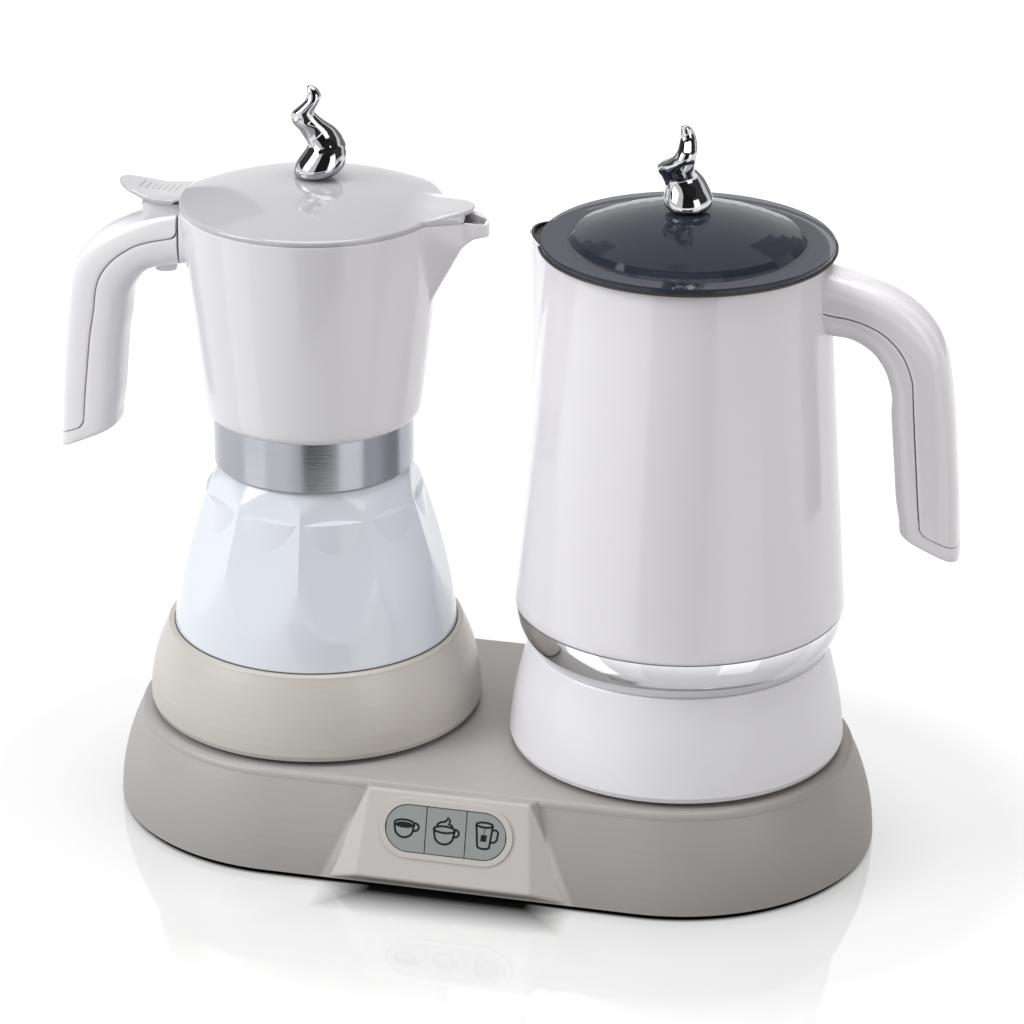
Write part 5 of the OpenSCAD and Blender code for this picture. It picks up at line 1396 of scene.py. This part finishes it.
@dataclass
class MokaCover:
    """The moka pot's hinged lid with its spout hood, thumb lever and knob."""

    axis_x: float = -SEAT_X
    low_z: float = 245.65
    mouth: float = 61.7
    edge_up: float = 1.8
    dome_up: float = 9.0
    dome_r: float = 49.5
    ring_r: float = 45.8
    lever_in: float = 48.0
    lever_run: float = 27.5
    lever_half: float = 11.8

    def dome(self, r: float) -> float:
        """Height of the dome over a radius."""
        return self.low_z + self.edge_up + self.dome_up * (1 - (r / self.dome_r) ** 2)

    def form(self) -> Form:
        """The lid's outer form: the dome with the hood blended into it."""
        top, mouth = self.low_z + 4.5, self.mouth
        hood = Block(slab(35, 8, top - 1, top) + slab(47.4, 14.9, self.low_z - 1, self.low_z + 1.8)
                     + slab(mouth - 1.5, 8.2, self.low_z - 1, self.low_z + 0.8)
                     + slab(mouth - 2.2, 6.2, top - 1.4, top - 0.2) + slab(mouth + 0.4, 2.6, top - 1.6, top - 0.3), 0.7)

        def outer(x: float, y: float, z: float) -> float:
            """How far a point lies outside the lid."""
            r = math.hypot(x, y)
            dome = soft_max((z - self.dome(min(r, 60.0))) * 0.94, r - 50.0, 0.9)
            return soft_min(dome, hood.outside(x, y, z), 1.8) if x > 20 else dome

        return outer

    def column(self, angle: float, rises: Sequence[float], outer: Form) -> list[Point]:
        """The lid's profile at an angle from the hood: down the outside, round the edge and up the underside.

        Args:
            angle: degrees round the axis.
            rises: angles above the level at which the outside is looked for.
            outer: the outer form.

        Returns:
            Its points in metres.
        """
        a, base = math.radians(angle), self.low_z
        open_up = max(min((7.7 - min(angle, 360 - angle)) / 0.8, 1.0), 0.0)
        low = base + 2.6 * open_up * open_up * (3 - 2 * open_up)
        column = []
        for rise in rises:
            way = (math.cos(a) * math.cos(rise), math.sin(a) * math.cos(rise), math.sin(rise))
            far = reach(outer, (0.0, 0.0, base), way, 68.0 if way[2] < 0.2 else 50.0, 6.0)
            column.append((far * math.hypot(way[0], way[1]), base + far * way[2]))
        column.reverse()
        edge = column[-1][0]
        column = [(min(r, edge) if z < low else r, max(z, low)) for r, z in column]
        column += [(edge - min(0.25, edge * 0.01), low), (edge - 1.2, low + 0.05), (48.6, base + 1.0 * open_up)]
        skirt = base - 3.5 if 25.5 < angle < 140 or 220 < angle < 334.5 else base - 0.1
        ring = self.ring_r
        column += [(47.4, base), (47.3, skirt + 0.2), (47.1, skirt),
                   (ring + 0.1, skirt), (ring, skirt + 0.2), (ring, 246.8)]
        column += [(ring * (1 - i / 8), self.dome(ring * (1 - i / 8)) - 2.0) for i in range(1, 8)]
        return [(self.axis_x + r * math.cos(a) * MM, r * math.sin(a) * MM, z * MM) for r, z in column]

    def lid(self, piece: Piece) -> None:
        """Skins the dome with the hood blended into it, and the hollow underside."""
        outer = self.form()
        rises = [0.3 * i for i in range(24)] + [7.2 + 82.3 * (i / 22) ** 1.35 for i in range(23)]
        skin(piece, [self.column(angle, list(map(math.radians, rises)), outer) for angle in sector(0.75, 4.0)])

    def lever(self, piece: Piece) -> None:
        """Adds the dished thumb lever with its ribs and the lug round the pin."""
        path = [(0, 0.9, 1.7, 0), (0.09, 0.85, 1.7, 0.9), (0.17, 0.1, 3.1, 1.2), (0.3, -0.1, 3.3, 1.1),
                (0.45, -0.15, 3.3, 0.8), (0.58, 0.3, 3.2, 0.3), (0.72, 1.2, 3.1, 0), (0.84, 2.0, 3.0, 0),
                (0.93, 2.8, 2.7, 0), (0.985, 3.3, 2.3, 0), (1, 3.4, 1.6, 0)]
        rows = spline(path, 5)
        piece.loft([self.lever_ring(*row) for row in rows])
        for i in range(1, 8):
            share = 0.08 + 0.6 * i / 7
            _, height, thick, _ = min(rows, key=lambda row: abs(row[0] - share))
            x, z = self.lever_in + self.lever_run * share, self.low_z + height + thick / 2 - 0.3
            piece.loft([[(self.axis_x - (x + r * math.cos(b)) * MM, y * MM, (z + r * math.sin(b)) * MM)
                         for b in (2 * math.pi * k / 14 for k in range(14))]
                        for y, r in ((-3.95, 0.2), (-3.8, 0.42), (-3.4, 0.55), (3.4, 0.55), (3.8, 0.42), (3.95, 0.2))])
        under = (math.pi + math.pi * k / 10 for k in range(11))
        lug = [(59.6, 246.4), (59.6, 240.9)] + [(63 + 2.8 * math.cos(b), 240.7 + 2.8 * math.sin(b)) for b in under]
        extruded(piece, lug + [(65.0, 246.4)], -4.6, 4.6, 0.4, self.axis_x)

    def lever_ring(self, share: float, height: float, thick: float, droop: float) -> list[Point]:
        """The lever's section at a share of its length.

        Args:
            share: 0 at the lid, 1 at the tip.
            height: of its middle over the lid's edge.
            thick: its thickness.
            droop: how far its sides hang down.

        Returns:
            The section's points in metres.
        """
        half, taper = self.lever_half * math.sqrt(max(1 - min(share, 1.0) ** 2.3, 0.0004)), 0.94
        ring = []
        for k in range(48):
            a = 2 * math.pi * (k + 0.5) / 48
            side = math.copysign(abs(math.cos(a)) ** 0.6, math.cos(a))
            up = thick / 2 * math.copysign(abs(math.sin(a)) ** 0.75, math.sin(a))
            if share > taper:
                up *= 1 - 0.3 * ((share - taper) / (1 - taper)) ** 2
            fall = droop * abs(side) ** 8 if up < 0 else 0.25 * droop * abs(side) ** 4
            ring.append((self.axis_x - (self.lever_in + self.lever_run * share) * MM, half * side * MM,
                         (self.low_z + height + up - fall) * MM))
        return ring

    def build(self) -> None:
        """Builds the lid, its lever and its knob."""
        piece = Piece("moka_lid_form", Look.MOKA_LID, "moka_cover")
        self.lid(piece)
        self.lever(piece)
        piece.build(("moka_lid",), sharp=38)
        dress(Look.STEEL, "moka_knob_screw")
        TwistedKnob("moka_knob_form", "moka_lid_knob", "moka_cover", self.axis_x,
                    base_z=256.45, turn=13.0, tail=0.95).build()


@dataclass
class FrothingJug:
    """The milk frothing jug with its base, mirror band, painted body and spout, pot, drive and handle."""

    axis_x: float = SEAT_X
    low_z: float = 99.0
    rim_z: float = 241.5
    low_r: float = 63.3
    taper: float = 10.7
    thick: float = 1.9
    lobe_out: float = 43.0
    lobe_r: float = 16.9
    spout_drop: float = 54.0
    spout_low: float = 172.0
    spout_side: float = 46.0
    lining_side: float = 34.0
    lip_up: float = 1.5
    lip_side: float = 16.0

    def wall(self, z: float) -> float:
        """The body's outer radius at a height, in millimetres."""
        return self.low_r - self.taper * (z - self.low_z) / (self.rim_z - self.low_z)

    def spout(self, inset: float) -> Block:
        """The wedge of the spout, drawn in for its inside and carried on above the rim."""
        low, over = self.rim_z - self.spout_drop, 7.5
        points: list[Point] = []
        for k in range(13):
            a = math.radians(-54 + 9 * k)
            out, side = self.lobe_out + self.lobe_r * math.cos(a), self.lobe_r * math.sin(a)
            points += [(out, side, self.rim_z), (out + 0.3, side, self.rim_z + over)]
        for k in range(8):
            a = math.radians(-90 + 180 * k / 7)
            points.append((self.wall(low) - 0.8 + 2 * math.cos(a), 2 * math.sin(a), low))
        points.append((self.wall(low - 9) - 0.2, 0, low - 9))
        a, b = math.radians(29.3), math.radians(11)
        for s in (-1, 1):
            top = (52.6 * math.cos(a), s * 52.6 * math.sin(a), self.rim_z)
            foot = (self.wall(low) * math.cos(b), s * self.wall(low) * math.sin(b), low)
            points += [top, foot, tuple(t + (t - f) * over / self.spout_drop for t, f in zip(top, foot))]
        return Block([(x - inset * 1.147, y, z) for x, y, z in points], 1.2)

    def lip(self, angle: float) -> float:
        """How much higher the pouring lip stands than the rim at an angle from its middle, in degrees."""
        share = max(1.0 - abs(angle) / self.lip_side, 0.0)
        return self.lip_up * share * share * (3 - 2 * share)

    def forms(self) -> tuple[Form, Form]:
        """The body's outer form with its spout, and its hollow."""
        wedge, void = self.spout(0.0), self.spout(0.9)

        def outer(x: float, y: float, z: float) -> float:
            """How far a point lies outside the wall and the spout."""
            found = math.hypot(x, y) - self.wall(z)
            return soft_min(found, wedge.outside(x, y, min(z, self.rim_z + 1)), 4.0) if z > self.spout_low else found

        def inner(x: float, y: float, z: float) -> float:
            """How far a point lies outside the hollow."""
            found = math.hypot(x, y) - self.wall(z) + self.thick
            return soft_min(found, void.outside(x, y, z), 1.0) if z > self.spout_low else found

        return outer, inner

    def column(self, angle: float, outer: Form, inner: Form) -> tuple[list[Point], list[Point]]:
        """The body's profile at an angle from the spout, and the lining's where it has one.

        Args:
            angle: degrees round the axis.
            outer: the outer form.
            inner: the hollow.

        Returns:
            The two profiles' points in metres, the second empty beyond the lining.
        """
        a = math.radians(angle)
        way = (math.cos(a), math.sin(a), 0.0)
        off = min(angle, 360 - angle)
        rim = self.rim_z + self.lip(off)

        def edge(form: Form, z: float, offset: float) -> float:
            """Where the wall stands at a height: looked for near the spout, and known elsewhere."""
            return reach(form, (0.0, 0.0, z), way, 66.0, 45.0) if off < self.spout_side else self.wall(z) - offset

        def placed(line: Sequence[Pair]) -> list[Point]:
            """Points of a profile of radius and height, in metres."""
            return [(self.axis_x - r * way[0] * MM, r * way[1] * MM, z * MM) for r, z in line]

        column = [(55.4, 99.05), (61.8, 99.0), (62.6, 99.2), (63.1, 99.75), (63.25, 100.5)]
        column += [(edge(outer, z, 0.0), z)
                   for z in [104 + 7 * i for i in range(10)] + [171 + 4 * i for i in range(17)] + [239, rim]]
        out, inside = column[-1][0], edge(inner, rim, self.thick)
        column += [(out - 0.02, rim + 0.35), (out - 0.2, rim + 0.68), (out - 0.6, rim + 0.86),
                   ((out + inside) / 2, rim + 0.88),
                   (inside + 0.25, rim + 0.86), (inside, rim + 0.6), (inside + 0.1, rim - 0.5)]
        column += [(edge(inner, z, self.thick) + 0.2, z) for z in (230, 205, 180, 150)] + [(61.2, 101.0), (55.4, 100.6)]
        if off >= self.lining_side:
            return placed(column), []
        down = [rim + 0.55 - 2.6 * i for i in range(9)]
        strip = [(min(edge(inner, min(z, self.rim_z), self.thick), out - 0.5) - 0.08, z) for z in down]
        top = [(out - 0.3, rim + 0.80), (out - 0.45, rim + 0.96), (strip[0][0] - 0.2, rim + 0.97)]
        return placed(column), placed(top + [(r - 0.3, z) for r, z in strip] + strip[::-1])

    def shell(self) -> None:
        """Skins the painted body with its spout and the rounded rim, and the spout's dark lining."""
        piece = Piece("froth_body_form", Look.PEARL, "frothing_jug")
        lining = Piece("froth_spout_lining", Look.POT, "frothing_jug")
        outer, inner = self.forms()
        columns, strips = [], []
        for angle in sector(0.9, 3.6):
            column, strip = self.column(angle, outer, inner)
            columns.append(column)
            if strip:
                strips.append((angle if angle < 180 else angle - 360, strip))
        rings = [list(ring) for ring in zip(*columns)]
        piece.loft(rings + rings[:1], caps=False)
        lining.loft([strip for _, strip in sorted(strips)])
        lining.build(sharp=50)
        piece.build(("frother_shell",), sharp=50)

    def band(self) -> None:
        """Turns the mirror band."""
        outer = [(56.5 + 6.3 * (2 * t - t * t), 82.8 + 16.2 * t) for t in (i / 24 for i in range(25))]
        profile = outer + [(r - 1.2, z) for r, z in reversed(outer)]
        piece = turned(Piece("mirror_band_form", Look.BAND, "frothing_jug"), self.axis_x, profile + profile[:1], 180)
        piece.build(("frother_chrome_band",), sharp=60)

    def build(self) -> None:
        """Dresses the solids and builds the body, the band and the handle."""
        self.shell()
        self.band()
        dress(Look.POT, "frother_pot")
        dress(Look.FROTH_BASE, "frother_base_ring")
        dress(Look.UNDERSIDE, "frother_base_cover", "frother_power_plug")
        dress(Look.ELEMENT, "frother_heating_element")
        dress(Look.MOTOR, "frother_motor")
        dress(Look.MAGNET, "magnet_rotor")
        dress(Look.STEEL, "frother_base_screws", "frother_handle_screws")
        dress(Look.WHISK, "whisk_hub")
        dress(Look.WIRE, "whisk_coil")
        bend = ((48, 15, 48, -10.8, -2.5), (56, 13, 56, -11.8, -2.5), (62, 11.7, 62.4, -12.4, -2.2),
                (70, 9.5, 67, -14.2, -1.7), (78, 6.4, 71.3, -17.2, -1.3), (85, 2.2, 74, -20.6, -1.1),
                (91, -3.2, 76.1, -24.3, -1.2), (95.2, -9, 77.5, -28.4, -1.4), (98.2, -15.8, 78.5, -32.6, -1.6),
                (99.6, -22, 78.7, -35, -1.9))
        SplitHandle("frother", "frothing_jug", Look.PEARL, Look.SEAM, self.axis_x, facing=1, arm_z=224.6, grip_r=88.8,
                    drop=92.4, lean=5.2, grip_t=23.5, end_cut=24.0, bend=bend, shifts=(-2.1, -2.2, -2.3, -2.4),
                    wall=self.wall).build()


@dataclass
class FrothCover:
    """The frothing jug's see-through lid with its seal and knob."""

    axis_x: float = SEAT_X
    seal_gap: float = 17.0

    def build(self) -> None:
        """Builds the seal's edge, which is open at the spout, dresses the lid and builds its knob."""
        ring = Piece("lid_seal_edge", Look.SEAL, "frother_cover")
        profile = [(54.9, 241.55), (55.5, 241.55), (55.75, 241.8), (55.75, 242.46), (54.9, 242.46)]
        ring.loft([[(self.axis_x - r * math.cos(a) * MM, r * math.sin(a) * MM, z * MM) for r, z in profile]
                   for a in (math.radians(self.seal_gap + 2 * k) for k in range(164))])
        ring.build(sharp=50)
        dress(Look.CLEAR, "frother_lid")
        dress(Look.SEAL, "frother_lid_seal")
        dress(Look.STEEL, "frother_knob_screw")
        TwistedKnob("frother_knob_form", "frother_lid_knob", "frother_cover", self.axis_x,
                    base_z=255.3, turn=103.0, tail=0.84).build()


@dataclass
class Studio:
    """Pale floor, soft lamps and the camera at the photograph's viewing angle."""

    azimuth: float = 13.302
    elevation: float = 23.05
    distance: float = 1.6664
    look_at: Point = (0.006192, 0.0, 0.127522)
    roll: float = 0.444
    lens: float = 152.76
    floor_half: float = 20.0
    # Painted shadow on the floor: the footprint of the base and its key panel, the reach of the dimmed emission next to
    # it, and how the emission rises away from it.
    foot_r: float = 0.0762
    panel_half: float = 0.040
    panel_out: float = 0.0885
    deck_back: float = 0.05
    contact: float = 0.03
    glow_from: float = 0.055
    glow_over: float = 0.12
    glow_near: float = 0.46
    glow_far: float = 0.4
    world_light: float = 0.38

    def camera(self) -> None:
        """Places the camera with its fitted angle, roll and lens."""
        data = bpy.data.cameras.new("studio_camera")
        data.sensor_width = 36.0
        data.lens = self.lens
        data.clip_end = 50.0
        made = bpy.data.objects.new("studio_camera", data)
        a, e = math.radians(self.azimuth), math.radians(self.elevation)
        target = Vector(self.look_at)
        spot = target + self.distance * Vector((math.sin(a) * math.cos(e), -math.cos(a) * math.cos(e), math.sin(e)))
        forward = (target - spot).normalized()
        right = forward.cross(Vector((0, 0, 1))).normalized()
        up = right.cross(forward)
        r = math.radians(self.roll)
        side, top = right * math.cos(r) + up * math.sin(r), up * math.cos(r) - right * math.sin(r)
        turn = Matrix((side, top, -forward)).transposed()
        made.matrix_world = Matrix.Translation(spot) @ turn.to_4x4()
        bpy.context.scene.collection.objects.link(made)
        bpy.context.scene.camera = made

    def lamp(self, name: str, spot: Point, aim: Point, size: Pair, power: float, tint: Colour = (1, 1, 1)) -> None:
        """Adds a rectangular soft lamp.

        Args:
            name: the lamp's name.
            spot: where it stands.
            aim: what it points at.
            size: its width and height in metres.
            power: watts.
            tint: its colour.
        """
        data = bpy.data.lights.new(name, "AREA")
        data.shape = "RECTANGLE"
        data.size, data.size_y = size
        data.energy = power
        data.color = tint
        made = bpy.data.objects.new(name, data)
        made.location = spot
        made.rotation_euler = (Vector(aim) - Vector(spot)).to_track_quat("-Z", "Y").to_euler()
        bpy.context.scene.collection.objects.link(made)

    def floor(self) -> None:
        """Lays a pale glossy floor that the camera and mirrors see as white, with a painted shadow: near black under
        the base and its key panel, and an emission that is dimmer close to the base and rises away from it.
        """
        far = self.floor_half
        mesh = bpy.data.meshes.new("studio_floor")
        mesh.from_pydata([(-far, -far, 0), (far, -far, 0), (far, far, 0), (-far, far, 0)], [], [(0, 1, 2, 3)])
        made = bpy.data.objects.new("studio_floor", mesh)
        bpy.context.scene.collection.objects.link(made)
        graph = Graph("studio_floor_white")
        x, y, _ = graph.split(graph.place())
        along = (x.size() - SEAT_X).most(0.0)
        deck = (along * along + y * y).power(0.5) - self.foot_r
        panel = (x.size() - self.panel_half).most(-1.0 * y - self.panel_out).most(y - self.deck_back)
        # Painted shadow: clear is 0 under the base's footprint, where the floor's colour and emission go near black;
        # close dims the emission next to the base, and beyond lets it rise away from the base.
        clear = deck.step(500.0).least(panel.step(52.0))
        close = clear * (0.88 + 0.12 * deck.least(panel).share(self.contact))
        beyond = (deck - self.glow_from).share(self.glow_over)
        glow = graph.seen() * (self.glow_near * close + self.glow_far * beyond)
        graph.surface(Base_Color=graph.mix(clear, (0.02, 0.02, 0.02), (0.36, 0.36, 0.36)), Roughness=0.04,
                      Specular_IOR_Level=0.5, IOR=2.0,
                      Emission_Color=graph.mix(glow, (0.0, 0.0, 0.0), (1.0, 1.0, 1.0)), Emission_Strength=1.0)
        mesh.materials.append(graph.material)

    def world(self) -> None:
        """Lights the scene evenly and shows white beyond the floor."""
        world = bpy.data.worlds.new("studio_world")
        world.use_nodes = True
        nodes = Nodes(world.node_tree)
        lit, white = (nodes.node("ShaderNodeBackground", None, {0: (1, 1, 1), 1: strength}).outputs[0]
                      for strength in (self.world_light, 1.0))
        blend = nodes.node("ShaderNodeMixShader", None, {0: nodes.seen(), 1: lit, 2: white})
        nodes.node("ShaderNodeOutputWorld", None, {0: blend.outputs[0]})
        bpy.context.scene.world = world

    def card(self, name: str, corners: Sequence[Point], tone: float) -> None:
        """Stands a dark card where only mirrors and gloss see it.

        Args:
            name: the card's name.
            corners: its corners in turn, in metres.
            tone: its grey.
        """
        mesh = bpy.data.meshes.new(name)
        mesh.from_pydata(list(corners), [], [tuple(range(len(corners)))])
        made = bpy.data.objects.new(name, mesh)
        made.visible_camera = made.visible_diffuse = made.visible_shadow = made.visible_transmission = False
        bpy.context.scene.collection.objects.link(made)
        graph = Graph(name + "_grey")
        graph.surface(Base_Color=(0.0, 0.0, 0.0), Roughness=1.0, Specular_IOR_Level=0.0,
                      Emission_Color=(tone, tone, tone), Emission_Strength=1.0)
        mesh.materials.append(graph.material)

    def build(self) -> None:
        """Sets up the whole studio."""
        bpy.context.scene.view_settings.view_transform = "Standard"
        self.camera()
        self.floor()
        self.world()
        self.lamp("key_left", (-1.5, -0.9, 1.3), (0, 0, 0.12), (1.0, 1.4), 27.5, (0.985, 0.99, 1.0))
        self.lamp("top_soft", (0.0, 0.1, 1.8), (0, 0, 0.1), (1.3, 0.9), 16.5)
        self.lamp("fill_right", (1.6, -1.0, 0.9), (0, 0, 0.15), (0.9, 1.3), 7.5, (1.0, 0.97, 0.945))
        self.card("front_card", [(-0.55, -2.35, 0.3), (1.55, -1.9, 0.3), (1.45, -1.3, 2.6), (-0.45, -1.7, 2.6)], 0.02)
        self.card("floor_card", [(-0.04, -0.36, 0.004), (0.22, -0.33, 0.004), (1.5, -1.9, 0.004), (-0.5, -2.3, 0.004)],
                  0.05)
        self.card("over_card", [(-1.9, -1.6, 2.6), (1.9, -1.6, 2.6), (1.9, 1.1, 2.6), (-1.9, 1.1, 2.6)], 0.03)
        self.card("left_high_card", [(-2.2, -2.0, 0.75), (-2.3, 1.2, 0.75), (-2.0, 1.2, 3.0), (-2.0, -2.0, 3.0)], 0.06)
        self.card("right_high_card", [(2.3, -2.0, 0.75), (2.3, 1.2, 0.75), (2.0, 1.2, 3.0), (2.0, -2.0, 3.0)], 0.06)
        for name, left, right, tone in (("back_left_card", (-0.65, 1.1), (-1.3, 0.7), 0.35),
                                        ("back_right_card", (0.24, 1.3), (0.95, 1.0), 0.3)):
            self.card(name, [(*left, -0.3), (*right, -0.3), (*right, 1.4), (*left, 1.4)], tone)


def main() -> None:
    """Loads the frame, builds the studio and every sub-assembly."""
    logging.basicConfig(level=logging.INFO, format="%(name)s: %(message)s")
    FRAME.update(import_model())
    Studio().build()
    for assembly in (PoweredBase(), FacettedBoiler(), Collector(), MokaCover(), FrothingJug(), FrothCover()):
        LOG.info("building %s", type(assembly).__name__)
        assembly.build()


if __name__ == "__main__":
    main()
